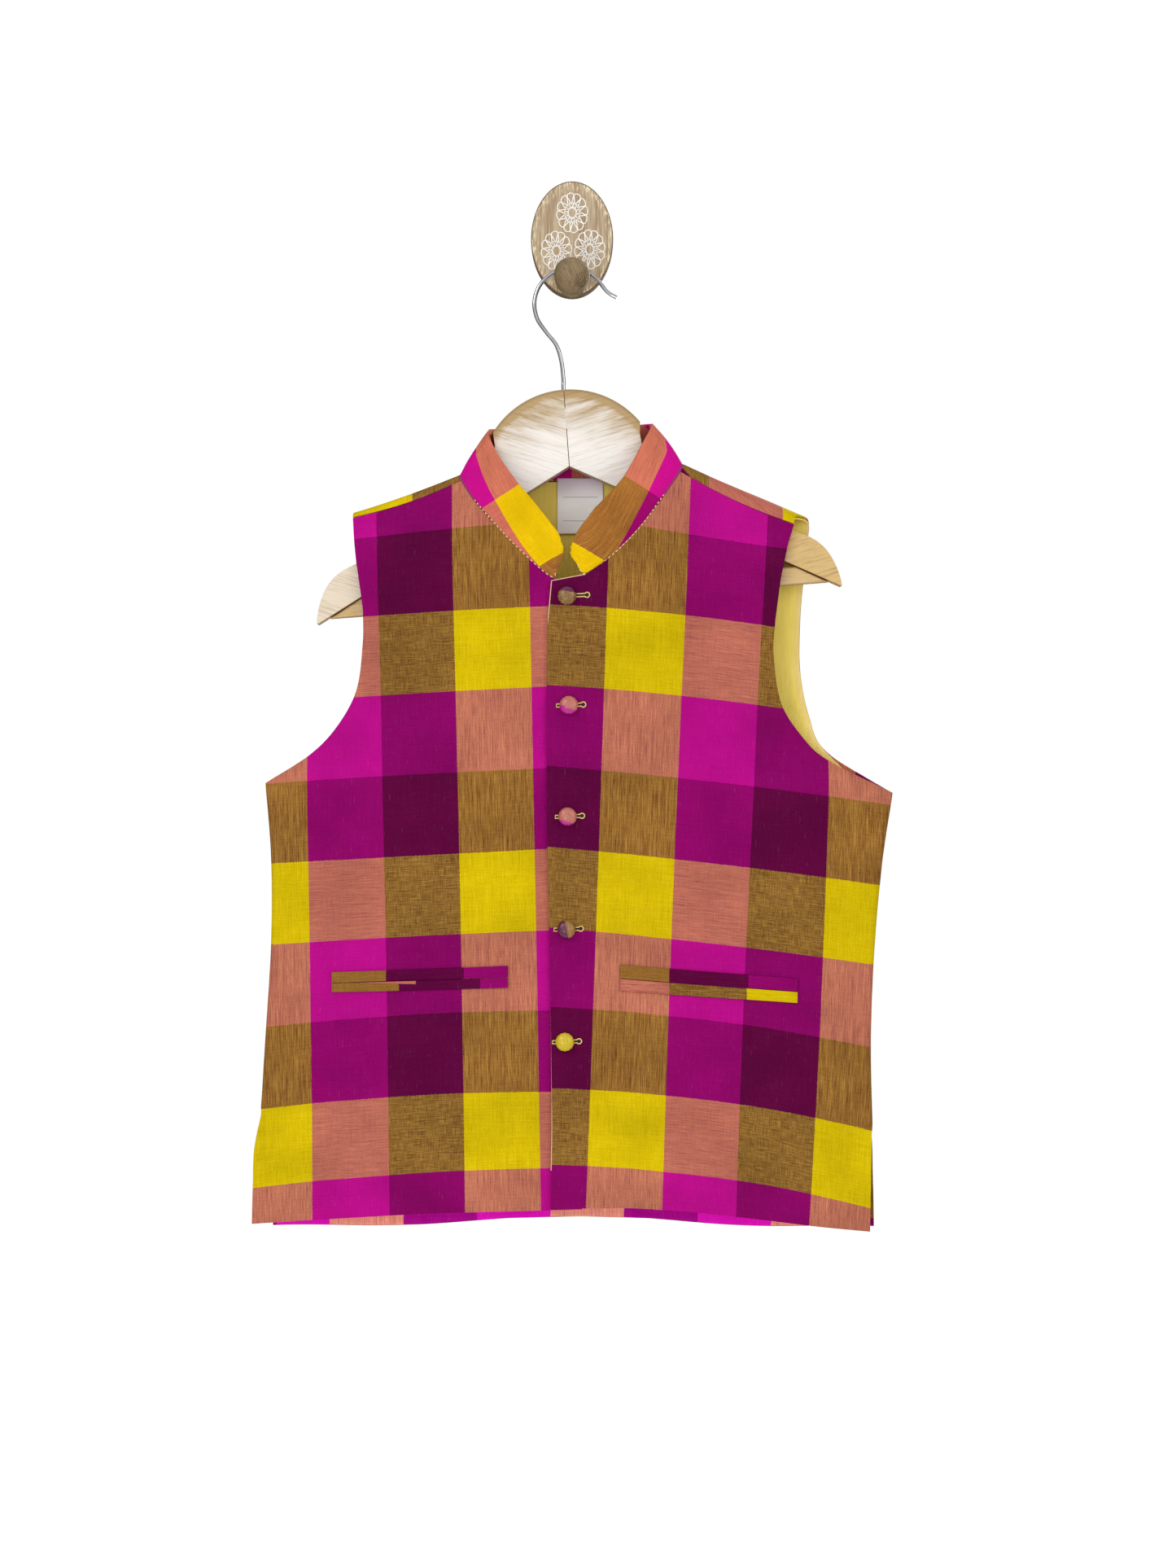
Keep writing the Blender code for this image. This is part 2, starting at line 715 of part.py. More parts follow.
def collar_surface(stations, steps):
    low = [list(axis) for axis in zip(*[s[0] for s in stations])]
    high = [list(axis) for axis in zip(*[s[1] for s in stations])]
    rows = []
    count = (len(stations) - 1) * steps
    for k in range(count + 1):
        place = min(k / steps, len(stations) - 1 - 1e-9)
        a = Vector([curve_value(axis, COLLAR_STRAIGHT, place) for axis in low])
        b = Vector([curve_value(axis, COLLAR_STRAIGHT, place) for axis in high])
        along = (b - a).normalized()
        a += along * COLLAR_CLEAR
        rows.append((a, b))
    return rows


# The collar's two layers are one stiff wall between its lower and upper edges
def collar(group, material):
    edges = collar_surface(collar_stations(), 2)
    rows = []
    for share in (0.0, 0.5, 1.0):
        row = []
        for k, (a, b) in enumerate(edges):
            level = min(max(k, NOSE_ROWS), len(edges) - 1 - NOSE_ROWS)
            before, here, after = edges[level - 1], edges[level], edges[level + 1]
            run = after[0].lerp(after[1], 0.5) - before[0].lerp(before[1], 0.5)
            normal = (here[1] - here[0]).cross(run).normalized()
            bulge = COLLAR_BULGE * math.sin(math.pi * share) * min(1.0, (b - a).length / 28.0)
            row.append(a.lerp(b, share) + normal * (bulge - COLLAR_INSET))
        rows.append(row)
    return grid_object(group, "collar", rows, material, COLLAR_THICK)


# Points of the hanger's own frame, put in the room's frame
def hanger_matrix():
    place = Vector((HANGER_CENTRE[0], 0.0, HANGER_CENTRE[1])) * MM
    return Matrix.Translation(place) @ Matrix.Rotation(-HANGER_TILT, 4, "Y")


# Half outline of the hanger: notch, lower edge, horn, shoulder and dome
def hanger_outline():
    points = [(GAP / 2, NOTCH_Z), (TIP_X - 0.4, NOTCH_Z - ARM_SLOPE * (TIP_X - 0.4))]
    horn = [list(axis) for axis in zip(*HORN)]
    count = (len(HORN) - 1) * 3
    for k in range(count, -1, -1):
        place = min(k / 3, len(HORN) - 1 - 1e-9)
        points.append((curve_value(horn[0], (), place), curve_value(horn[1], (), place)))
    for out in (120.0, 110.0, 100.0, 86.0, 72.0):
        rise = SHOULDER_RISE * smooth((130.0 - out) / 26.0)
        points.append((out, ARM_TOP_Z + rise - ARM_SLOPE * out))
    points += NECK_FLANK
    start = math.radians(DOME_END)
    stop = math.pi / 2 - math.asin(GAP / 2 / DOME_RADIUS)
    for k in range(15):
        angle = mix(start, stop, k / 14)
        points.append((DOME_RADIUS * math.cos(angle), DOME_RADIUS * math.sin(angle)))
    return points


def hanger_half(group, name, side, material, cutter):
    curve = bpy.data.curves.new(name, "CURVE")
    curve.dimensions = "2D"
    curve.fill_mode = "BOTH"
    curve.extrude = HANGER_THICK / 2 * MM
    points = hanger_outline()
    line = curve.splines.new("POLY")
    line.points.add(len(points) - 1)
    for spot, (x, z) in zip(line.points, points):
        spot.co = (side * x * MM, z * MM, 0.0, 1.0)
    line.use_cyclic_u = True
    flat = bpy.data.objects.new(name + "_outline", curve)
    group.objects.link(flat)
    mesh = bpy.data.meshes.new_from_object(flat.evaluated_get(bpy.context.evaluated_depsgraph_get()))
    bpy.data.objects.remove(flat, do_unlink=True)
    work = bmesh.new()
    work.from_mesh(mesh)
    bmesh.ops.remove_doubles(work, verts=work.verts, dist=0.01 * MM)
    bmesh.ops.recalc_face_normals(work, faces=work.faces)
    middle = Vector((0.0, (HANGER_BACK_Y - HANGER_THICK / 2) * MM, 0.0))
    stand = Matrix.Rotation(math.pi / 2, 4, "X")
    work.transform(Matrix.Translation(middle) @ hanger_matrix() @ stand)
    work.to_mesh(mesh)
    work.free()
    item = add_object(group, name, mesh, material)
    edge = item.modifiers.new("Rounded edges", "BEVEL")
    edge.width = HANGER_BEVEL * MM
    edge.segments = 2
    edge.limit_method = "ANGLE"
    edge.angle_limit = math.radians(60.0)
    hole = item.modifiers.new("Hook hole", "BOOLEAN")
    hole.object = cutter
    hole.operation = "DIFFERENCE"
    return item


def hook_cutter(cutters):
    depth = HOOK_SINK + 1.0
    bpy.ops.mesh.primitive_cylinder_add(
        vertices=16, radius=(HOOK_RADIUS + GAP) * MM, depth=2 * depth * MM
    )
    item = bpy.context.object
    item.name = "hook_hole_cutter"
    top = Matrix.Translation(Vector((0.0, HOOK_Y, DOME_RADIUS)) * MM)
    item.matrix_world = hanger_matrix() @ top
    for holder in list(item.users_collection):
        holder.objects.unlink(item)
    cutters.objects.link(item)
    item.display_type = "WIRE"
    item.hide_render = True
    return item


def hanger_hook(group, material):
    # The wire's straight end stands in the hole along the joint
    top = hanger_matrix() @ Vector((0.0, 0.0, (DOME_RADIUS + 3.0) * MM)) / MM
    end = hanger_matrix() @ Vector((0.0, 0.0, (DOME_RADIUS - HOOK_SINK) * MM)) / MM
    route = list(HOOK_ROUTE) + [(top.x, top.z), (end.x, end.z)]
    axes = [list(axis) for axis in zip(*route)]
    straight = (len(route) - 2,)
    points = []
    for i in range(len(route) - 1):
        steps = 3 if i < len(route) - 2 else 1
        for k in range(steps):
            place = i + k / steps
            points.append([curve_value(axis, straight, place) for axis in axes])
    points.append(route[-1])
    curve = bpy.data.curves.new("hanger_hook", "CURVE")
    curve.dimensions = "3D"
    curve.bevel_depth = HOOK_RADIUS * MM
    curve.bevel_resolution = 2
    curve.use_fill_caps = True
    line = curve.splines.new("POLY")
    line.points.add(len(points) - 1)
    for spot, (x, z) in zip(line.points, points):
        spot.co = (x * MM, HOOK_Y * MM, z * MM, 1.0)
    add_object(group, "hanger_hook", curve, material)


# The bar's ends are cut to the slope of the arms' undersides
def hanger_bar(group, material):
    low_z = NOTCH_Z - ARM_SLOPE * BAR_X - 0.5
    high_z = low_z + BAR_HEIGHT
    reach_low = BAR_X
    reach_high = (NOTCH_Z - high_z) / ARM_SLOPE
    slack = GAP / math.sin(math.atan(ARM_SLOPE))
    work = bmesh.new()
    bmesh.ops.create_cube(work, size=1.0)
    for vert in work.verts:
        upper = vert.co.z > 0
        reach = (reach_high if upper else reach_low) - slack
        x = math.copysign(reach, vert.co.x)
        y = BAR_Y + math.copysign(BAR_DEPTH / 2, vert.co.y)
        vert.co = Vector((x, y, high_z if upper else low_z)) * MM
    work.transform(hanger_matrix())
    mesh = bpy.data.meshes.new("hanger_bar")
    work.to_mesh(mesh)
    work.free()
    item = add_object(group, "hanger_bar", mesh, material)
    edge = item.modifiers.new("Rounded edges", "BEVEL")
    edge.width = 0.8 * MM
    edge.segments = 2


def turned_object(group, name, profile, steps, material):
    mesh = bpy.data.meshes.new(name)
    mesh.from_pydata(
        [(r * MM, 0.0, h * MM) for r, h in profile],
        [(k, k + 1) for k in range(len(profile) - 1)],
        [],
    )
    item = add_object(group, name, mesh, material)
    turn = item.modifiers.new("Turned", "SCREW")
    turn.steps = turn.render_steps = steps
    turn.use_merge_vertices = True
    turn.merge_threshold = 0.01 * MM
    return item


def wall_knob(group, material):
    profile = [(r, h) for r, h in reversed(KNOB_PROFILE)]
    item = turned_object(group, "wall_knob", profile, 28, material)
    item.rotation_euler = (math.pi / 2, 0.0, 0.0)
    item.location = Vector((0.0, -PLATE_THICK, KNOB_Z)) * MM


def wall_plate(group, material):
    bpy.ops.mesh.primitive_cylinder_add(vertices=56, radius=0.5, depth=1.0)
    item = bpy.context.object
    item.name = item.data.name = "wall_plate"
    size = Matrix.Diagonal((PLATE_WIDTH * MM, PLATE_HEIGHT * MM, PLATE_THICK * MM, 1.0))
    stand = Matrix.Rotation(math.pi / 2, 4, "X")
    item.data.transform(Matrix.Translation((0.0, -PLATE_THICK / 2 * MM, 0.0)) @ stand @ size)
    move_to(group, item, material)
    edge = item.modifiers.new("Rounded front", "BEVEL")
    edge.width = 1.5 * MM
    edge.segments = 2
    edge.limit_method = "ANGLE"
    edge.angle_limit = math.radians(50.0)


def buttons(group, materials):
    for number, (x, z) in enumerate(BUTTONS, start=1):
        spot, normal = front_surface("right", x, z, FRONT_THICK / 2 + GAP)
        profile = list(reversed(BUTTON_PROFILE))
        item = turned_object(group, f"button_{number}", profile, 18, materials[number - 1])
        item.rotation_mode = "QUATERNION"
        item.rotation_quaternion = Vector((0.0, 0.0, 1.0)).rotation_difference(normal)
        item.location = spot * MM


def main():
    clear_scene()
    group = new_collection(NAME)
    cutters = new_collection("cutters")
    check = make_material("handloom_check", (0.36, 0.08, 0.10), 0.8)
    lining = make_material("lining_cloth", (0.51, 0.40, 0.10), 0.85)
    satin = make_material("label_satin", (0.78, 0.76, 0.74), 0.5)
    white_wood = make_material("whitewashed_wood", (0.80, 0.73, 0.64), 0.6)
    brown_wood = make_material("brown_wood", (0.26, 0.15, 0.09), 0.6)
    wire = make_material("bright_wire", (0.7, 0.7, 0.7), 0.25, 1.0)
    caps = [
        make_material("button_brown", (0.27, 0.12, 0.03), 0.6),
        make_material("button_coral", (0.50, 0.14, 0.10), 0.6),
        make_material("button_pink", (0.50, 0.14, 0.10), 0.6),
        make_material("button_purple", (0.12, 0.01, 0.05), 0.6),
        make_material("button_yellow", (0.62, 0.46, 0.01), 0.6),
    ]
    front_panel(group, "front_right", "left", check)
    front_panel(group, "front_left", "right", check)
    back_panel(group, check)
    back_lining(group, lining)
    back_hem_facing(group, check)
    collar(group, check)
    neck_label(group, satin)
    pocket_welts(group, check)
    buttons(group, caps)
    cutter = hook_cutter(cutters)
    hanger_half(group, "hanger_left_half", -1.0, white_wood, cutter)
    hanger_half(group, "hanger_right_half", 1.0, white_wood, cutter)
    hanger_bar(group, white_wood)
    hanger_hook(group, wire)
    wall_knob(group, brown_wood)
    wall_plate(group, brown_wood)


main()
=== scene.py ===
# A child's checked bandi waistcoat on its hanger and wall knob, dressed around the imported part
import math
from functools import partial, partialmethod

import bmesh
import bpy
from mathutils import Matrix, Vector, noise


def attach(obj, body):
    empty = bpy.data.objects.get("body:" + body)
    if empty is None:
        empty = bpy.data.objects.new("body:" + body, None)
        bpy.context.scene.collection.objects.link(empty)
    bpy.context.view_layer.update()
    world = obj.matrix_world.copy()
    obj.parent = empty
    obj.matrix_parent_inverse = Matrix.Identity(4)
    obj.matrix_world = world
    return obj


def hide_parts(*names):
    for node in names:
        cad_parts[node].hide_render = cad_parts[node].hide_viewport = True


mm = 0.001
scene = bpy.context.scene
scene.view_settings.view_transform = "Standard"
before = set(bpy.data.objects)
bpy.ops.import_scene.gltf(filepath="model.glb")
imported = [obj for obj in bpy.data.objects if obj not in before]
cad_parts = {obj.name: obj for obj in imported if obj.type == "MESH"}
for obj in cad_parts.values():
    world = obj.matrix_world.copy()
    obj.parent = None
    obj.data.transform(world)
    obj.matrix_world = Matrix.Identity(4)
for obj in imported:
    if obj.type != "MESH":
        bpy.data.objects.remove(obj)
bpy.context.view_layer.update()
print("frame loaded:", len(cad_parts), "nodes")


def mix(a, b, share):
    return a + (b - a) * share


def smooth(share):
    share = min(1.0, max(0.0, share))
    return share * share * (3.0 - 2.0 * share)


def curveValue(values, breaks, place):  # a smooth curve over row numbers, with corners at breaks
    last = len(values) - 1
    i = min(last - 1, max(0, int(math.floor(place))))
    t = place - i

    def slope(k, side):
        if k == 0 or (k in breaks and side > 0):
            return values[k + 1] - values[k]
        if k == last or (k in breaks and side < 0):
            return values[k] - values[k - 1]
        return (values[k + 1] - values[k - 1]) / 2.0

    t2, t3 = t * t, t * t * t
    return (
        (2 * t3 - 3 * t2 + 1) * values[i]
        + (t3 - 2 * t2 + t) * slope(i, 1)
        + (3 * t2 - 2 * t3) * values[i + 1]
        + (t3 - t2) * slope(i + 1, -1)
    )


def curveSpots(points, breaks, steps):  # spots along a smooth curve through the given ones
    axes, last = list(zip(*points)), len(points) - 1
    places = [min(k / steps, last - 1e-9) for k in range(last * steps + 1)]
    return [[curveValue(axis, breaks, place) for axis in axes] for place in places]


def roundDepth(radius, distance):
    if radius < 0.01 or distance >= radius:
        return radius
    return math.sqrt(max(0.0, radius * radius - (radius - distance) ** 2))


class Nodes:  # a node tree, with short calls for the nodes that recur
    def __init__(self, tree, material=None):
        self.tree, self.material = tree, material

    def fill(self, node, inputs):  # sets or links a node's sockets
        for key, value in inputs.items():
            socket = node.inputs[key]
            if isinstance(value, bpy.types.NodeSocket):
                self.tree.links.new(value, socket)
            else:
                socket.default_value = (*value, 1.0) if socket.type == "RGBA" else value

    def put(self, kind, inputs=(), **settings):  # one node and what comes out of it
        node = self.tree.nodes.new("ShaderNode" + kind)
        for name, value in settings.items():
            setattr(node, name, value)
        self.fill(node, dict(inputs))
        return node.outputs

    def calc(self, operation, *values, clamp=False):
        return self.put("Math", enumerate(values), operation=operation, use_clamp=clamp)[0]

    add = partialmethod(calc, "ADD")
    less = partialmethod(calc, "SUBTRACT")
    times = partialmethod(calc, "MULTIPLY")
    timesAdd = partialmethod(calc, "MULTIPLY_ADD")
    size = partialmethod(calc, "ABSOLUTE")
    sine = partialmethod(calc, "SINE")
    below = partialmethod(calc, "LESS_THAN")
    above = partialmethod(calc, "GREATER_THAN")
    most = partialmethod(calc, "MAXIMUM")

    def length(self, a, b):
        return self.calc("SQRT", self.add(self.times(a, a), self.times(b, b)))

    def blend(self, share, a, b, mode="MIX"):
        return self.put("Mix", {0: share, 6: a, 7: b}, data_type="RGBA", blend_type=mode)[2]

    def layers(self, colour, *over):  # colours laid one over another, each with its share
        for share, top in over:
            colour = self.blend(share, colour, top)
        return colour

    def multiply(self, a, b):
        return self.blend(1.0, a, b, "MULTIPLY")

    def stretched(self, vector, scale, turn=0.0):
        inputs = {"Vector": vector, "Scale": scale, "Rotation": (0.0, turn, 0.0)}
        return self.put("Mapping", inputs)[0]

    def noise(self, vector, scale, detail=2.0, rough=0.5):
        place = self.stretched(vector, scale if isinstance(scale, tuple) else (scale, scale, scale))
        return self.put("TexNoise", {"Vector": place, "Scale": 1.0, "Detail": detail, "Roughness": rough})[0]

    def ramp(self, value, low, high, start=0.0, stop=1.0):
        return self.put("MapRange", {0: value, 1: low, 2: high, 3: start, 4: stop})[0]

    def split(self, vector):
        return self.put("SeparateXYZ", {0: vector})

    def spot(self):
        return self.put("TexCoord")["Object"]

    def shade(self, colour, rough, bump=None, more=()):  # bump has its height, strength and distance
        shader = self.tree.nodes["Principled BSDF"]
        self.fill(shader, {"Base Color": colour, "Roughness": rough, **dict(more)})
        if bump:
            normal = self.put("Bump", zip(("Height", "Strength", "Distance"), bump))[0]
            self.fill(shader, {"Normal": normal})
        return self.material


def newGroup(name, inputs, outputs):  # a node group, what it is given, and the node that takes its results
    tree = bpy.data.node_groups.new(name, "ShaderNodeTree")
    for label, kind, value in inputs:
        socket = tree.interface.new_socket(label, in_out="INPUT", socket_type="NodeSocket" + kind)
        if value is not None:
            socket.default_value = value
    for label, kind in outputs:
        tree.interface.new_socket(label, in_out="OUTPUT", socket_type="NodeSocket" + kind)
    return Nodes(tree), tree.nodes.new("NodeGroupInput").outputs, tree.nodes.new("NodeGroupOutput")


def newMaterial(name):
    material = bpy.data.materials.new(name)
    material.use_nodes = True
    return Nodes(material.node_tree, material)


def newPiece(name, mesh, materials, nodes=()):
    piece = bpy.data.objects.new(name, mesh)
    scene.collection.objects.link(piece)
    for material in materials:
        mesh.materials.append(material)
    mesh.polygons.foreach_set("use_smooth", [True] * len(mesh.polygons))
    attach(piece, "root")
    if nodes:
        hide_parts(*nodes)
    return piece


def meshFrom(name, work):
    mesh = bpy.data.meshes.new(name)
    work.to_mesh(mesh)
    work.free()
    return mesh


def gridMesh(name, rows, cloth):  # rows of spots in mm, and each spot's place on the cloth
    across, up = len(rows[0]), len(rows)
    work = bmesh.new()
    bmesh.ops.create_grid(work, x_segments=across - 1, y_segments=up - 1, size=1.0)
    for vert, spot in zip(work.verts, [spot for row in rows for spot in row]):
        vert.co = spot * mm
    work.verts.index_update()
    layer = work.loops.layers.uv.new("UVMap")
    for face in work.faces:
        for loop in face.loops:
            j, i = divmod(loop.vert.index, across)
            loop[layer].uv = cloth[j][i]
    return meshFrom(name, work)


def sampledMesh(name, across, up, point):  # point turns two counts into a spot and its place on the cloth
    lines = [[point(i, j) for i in range(across + 1)] for j in range(up + 1)]
    return gridMesh(name, *[[[pair[k] for pair in line] for line in lines] for k in (0, 1)])


def joinMeshes(name, meshes, weld=0.0):
    work = bmesh.new()
    for mesh in meshes:
        work.from_mesh(mesh)
        bpy.data.meshes.remove(mesh)
    if weld:
        bmesh.ops.remove_doubles(work, verts=work.verts, dist=weld * mm)
        bmesh.ops.recalc_face_normals(work, faces=work.faces)
    return meshFrom(name, work)


def turnedShape(profile, steps, swell):  # a profile of radii and heights, turned round z and a little uneven
    work = bmesh.new()
    chain = [work.verts.new(Vector((r, 0.0, h)) * mm) for r, h in profile]
    lines = [work.edges.new(pair) for pair in zip(chain, chain[1:])]
    whole = {"cent": (0, 0, 0), "axis": (0, 0, 1), "angle": 2 * math.pi, "use_merge": True}
    bmesh.ops.spin(work, geom=chain + lines, steps=steps, **whole)
    bmesh.ops.remove_doubles(work, verts=work.verts, dist=0.01 * mm)
    for vert in work.verts:
        x, y, z = vert.co / mm
        vert.co.xy *= 1.0 + swell(math.hypot(x, y), math.atan2(y, x), z)
    bmesh.ops.recalc_face_normals(work, faces=work.faces)
    return work


def roundEdges(work, edges, width, segments, clamp=False):
    look = {"affect": "EDGES", "profile": 0.5, "material": -1, "clamp_overlap": clamp}
    bmesh.ops.bevel(work, geom=edges, offset=width * mm, segments=segments, **look)


def sharpEdges(work):
    return [edge for edge in work.edges if edge.calc_face_angle(0.0) > math.radians(60.0)]


def thicken(piece, thickness, bevel, innerSlot=0, even=True):
    wall = piece.modifiers.new("Cloth thickness", "SOLIDIFY")
    wall.thickness = thickness * mm
    wall.offset = 0.0
    wall.use_even_offset = even
    wall.material_offset = innerSlot
    if bevel:
        edge = piece.modifiers.new("Rolled edge", "BEVEL")
        edge.width = bevel * mm
        edge.segments = 3
        edge.limit_method = "ANGLE"
        edge.angle_limit = math.radians(55.0)


def tubeMesh(name, paths, radius, sides=2, closed=False, radii=None):  # round threads and wires
    curve = bpy.data.curves.new(name, "CURVE")
    curve.dimensions = "3D"
    curve.bevel_depth = radius * mm
    curve.bevel_resolution = sides
    curve.use_fill_caps = True
    for path in paths:
        line = curve.splines.new("POLY")
        line.points.add(len(path) - 1)
        for k, spot in enumerate(path):
            line.points[k].co = (*(spot * mm), 1.0)
            line.points[k].radius = radii[k % len(radii)] if radii else 1.0
        line.use_cyclic_u = closed
    holder = bpy.data.objects.new(name, curve)
    scene.collection.objects.link(holder)
    ready = holder.evaluated_get(bpy.context.evaluated_depsgraph_get())
    mesh = bpy.data.meshes.new_from_object(ready)
    bpy.data.objects.remove(holder, do_unlink=True)
    bpy.data.curves.remove(curve)
    mesh.materials.clear()
    return mesh


fronts = {
    # name, left x, left z, right x, right z, under edge x, z, over edge x, z, centre y
    "levels": (
        ("hem", -186.6, -578.0, 173.8, -582.5, 6.0, -566.2, -11.9, -566.0, -46.0),
        ("vent low", -186.0, -555.0, 174.2, -559.0, 6.0, -543.5, -11.6, -543.5, -46.5),
        ("vent bend", -185.3, -534.0, 174.7, -539.0, 6.0, -523.0, -11.2, -523.0, -47.0),
        ("vent top", -181.2, -513.5, 175.1, -523.0, 6.0, -503.0, -11.3, -503.0, -47.5),
        ("hip", -178.3, -466.0, 174.1, -473.0, 6.0, -457.0, -11.9, -457.0, -48.6),
        ("waist", -175.2, -414.0, 176.2, -419.0, 6.0, -407.0, -12.9, -407.0, -49.7),
        ("chest", -175.2, -365.0, 180.8, -367.0, 6.0, -361.0, -13.7, -361.0, -50.8),
        ("underarm", -178.5, -321.0, 186.8, -326.7, 6.0, -318.0, -14.2, -318.0, -52.5),
        ("arm low", -153.3, -305.0, 150.4, -308.7, 6.0, -296.0, -14.4, -296.0, -53.6),
        ("arm bend", -137.5, -289.0, 135.0, -295.2, 6.0, -274.0, -14.3, -274.0, -54.6),
        ("arm mid", -125.5, -267.5, 121.8, -274.5, 6.0, -252.0, -14.0, -252.0, -55.4),
        ("arm narrow", -121.6, -240.0, 117.3, -246.0, 6.0, -230.0, -13.3, -230.0, -56.0),
        ("neck corner", -121.4, -221.0, 118.3, -226.0, 6.0, -208.0, -11.3, -205.6, -56.0),
        ("collar end", -122.6, -211.0, 119.8, -214.5, -11.7, -203.4, 7.9, -202.0, -56.0),
        ("neck bend", -124.3, -200.0, 121.4, -203.0, -29.0, -188.7, 23.6, -190.6, -53.0),
        ("neck mid", -125.8, -190.0, 123.8, -191.5, -45.0, -171.5, 39.5, -174.0, -44.5),
        ("neck high", -127.0, -178.0, 126.2, -181.0, -56.5, -157.5, 53.5, -154.5, -34.5),
        ("shoulder", -127.7, -166.4, 129.6, -170.2, -64.6, -145.1, 63.3, -139.8, -25.9),
    ),
    "breaks": ("vent top", "underarm", "neck corner", "collar end"),
    "thickness": 1.5,
    "hemBow": {"left": (2.2, 0.0), "right": (4.6, -1.4)},
    # soft folds: x at the hem, x at the chest, top z, depth, half width
    "folds": (
        (-128.0, -118.0, -330.0, 1.5, 20.0),
        (-74.0, -72.0, -380.0, -1.4, 18.0),
        (52.0, 58.0, -360.0, 1.7, 19.0),
        (118.0, 108.0, -340.0, -1.6, 21.0),
    ),
    # the check's column edges, x = a + b t + c t^2 with t = (z + 360) / 100, from this band number
    "columns": {
        "left": (1, (-153.1, -1.87, -0.3), (-108.3, -2.2, -0.35), (-64.5, -1.98, -0.24),
                 (-21.2, -1.8, -0.04)),
        "right": (6, (15.5, 3.39, -0.08), (59.2, 4.03, 0.27), (103.1, 4.87, 0.45),
                  (148.0, 3.2, -0.68)),
    },
    # the check's row edges, z = a + b t + c t^2 with t = x / 100
    "rows": {
        "left": (1, (-169.3, 5.37, -1.39), (-219.2, 3.69, -0.16), (-265.0, 4.78, 0.02),
                 (-311.4, 4.1, -0.75), (-357.7, 5.36, -0.16), (-405.0, 3.46, -1.35),
                 (-451.1, -0.29, -3.88), (-498.2, -0.93, -4.45), (-542.2, 0.8, -3.88)),
        "right": (1, (-165.6, -19.02, 3.41), (-219.5, -5.63, -2.62), (-265.7, -6.47, -2.62),
                  (-311.8, -8.6, -1.66), (-358.4, -9.19, -1.7), (-404.7, -9.16, -1.97),
                  (-449.6, -5.62, -5.06), (-496.3, -3.88, -6.76), (-540.5, -3.55, -7.35)),
    },
}
back = {
    # name, left x, left z, right x, right z, left inner x, z, right inner x, z
    "levels": (
        ("hem", -176.0, -581.0, 177.7, -581.5, 5.0, -577.0, 5.0, -577.0),
        ("vent low", -177.5, -557.0, 177.3, -559.0, 5.0, -554.0, 5.0, -554.0),
        ("vent bend", -179.2, -535.0, 176.4, -540.0, 5.0, -531.0, 5.0, -531.0),
        ("vent top", -181.2, -513.5, 175.1, -523.0, 5.0, -512.0, 5.0, -512.0),
        ("hip", -178.3, -466.0, 174.1, -473.0, 5.0, -462.0, 5.0, -462.0),
        ("waist", -175.2, -414.0, 176.2, -419.0, 5.0, -411.0, 5.0, -411.0),
        ("chest", -175.2, -365.0, 180.8, -367.0, 5.0, -363.0, 5.0, -363.0),
        ("underarm", -178.5, -321.0, 186.8, -326.7, 5.0, -320.0, 5.0, -320.0),
        ("arm low", -134.0, -301.5, 149.2, -302.6, 5.0, -296.0, 5.0, -296.0),
        ("arm bend", -121.0, -280.0, 139.5, -281.5, 5.0, -267.0, 5.0, -267.0),
        ("arm mid", -115.6, -253.0, 134.6, -254.0, 5.0, -232.0, 5.0, -232.0),
        ("blade", -116.1, -222.0, 134.8, -223.0, 5.0, -190.0, 5.0, -190.0),
        ("neck centre", -117.6, -200.0, 136.8, -200.0, 5.0, -143.0, 5.0, -143.0),
        ("neck side", -119.3, -184.0, 138.4, -184.0, -34.0, -144.2, 40.0, -142.6),
        ("shoulder base", -121.0, -167.5, 140.0, -170.5, -61.5, -145.5, 62.0, -140.0),
    ),
    "breaks": ("vent top", "underarm", "neck centre"),
    "thickness": 1.2,
    "sag": 2.6,
    "fullness": 2.6,
    "crests": {"left": (-163.6, -65.0, -141.6), "right": (-164.6, 65.0, -135.0)},
    "turns": 12,
    "inward": 1.4,  # from the middle of the cloth to the middle of the lining
    "columnEdge": (-93.0, 3.0, 43.2),
    "rowEdge": (-163.0, 3.0, 46.0),
    "hemColumn": (-99.5, 3.0, 43.4),
    "hemRow": (-577.0, 3.5, 200.0),
    "hemHigh": 23.0,  # height of the turned-up hem
    "edgeBand": (-322.0, 3.4),  # lowest z and width of the paler band round the armholes
    "liningEdge": (0.3, 4.6, 3.2),  # from the side edge: high up, more of it low down, and its close columns
}
shape = {
    "seamY": -21.5,
    "shoulderBackY": -6.8,
    "ventFrontY": -24.0,
    "ventBackY": -13.0,
    "armholeFrontY": -26.0,
    "backCentreY": -4.8,
    "overlapLift": 1.8,
    "overlapFlat": 17.0,
    "overlapEnd": 45.0,
    "centreX": -3.0,
    "backCentreX": 5.0,
    "sideRound": 3.2,
    "seamHalf": 0.36,
    "openHalf": 1.25,
    "crestRound": 3.0,
    "seamSag": 2.2,
    "gap": 0.3,
    "liningEase": 0.35,
    "liningThick": 1.0,
    "step": 2.6,  # size of the cloth's grid
    "waves": ((60.0, 75.0, 1.0), (24.0, 34.0, 0.42), (9.0, 14.0, 0.08)),
    "pucker": (0.45, 9.0),  # depth, and how far in from a seam
    "crease": (-516.0, 0.45, 1.3),  # the press crease's z, height and half width
}


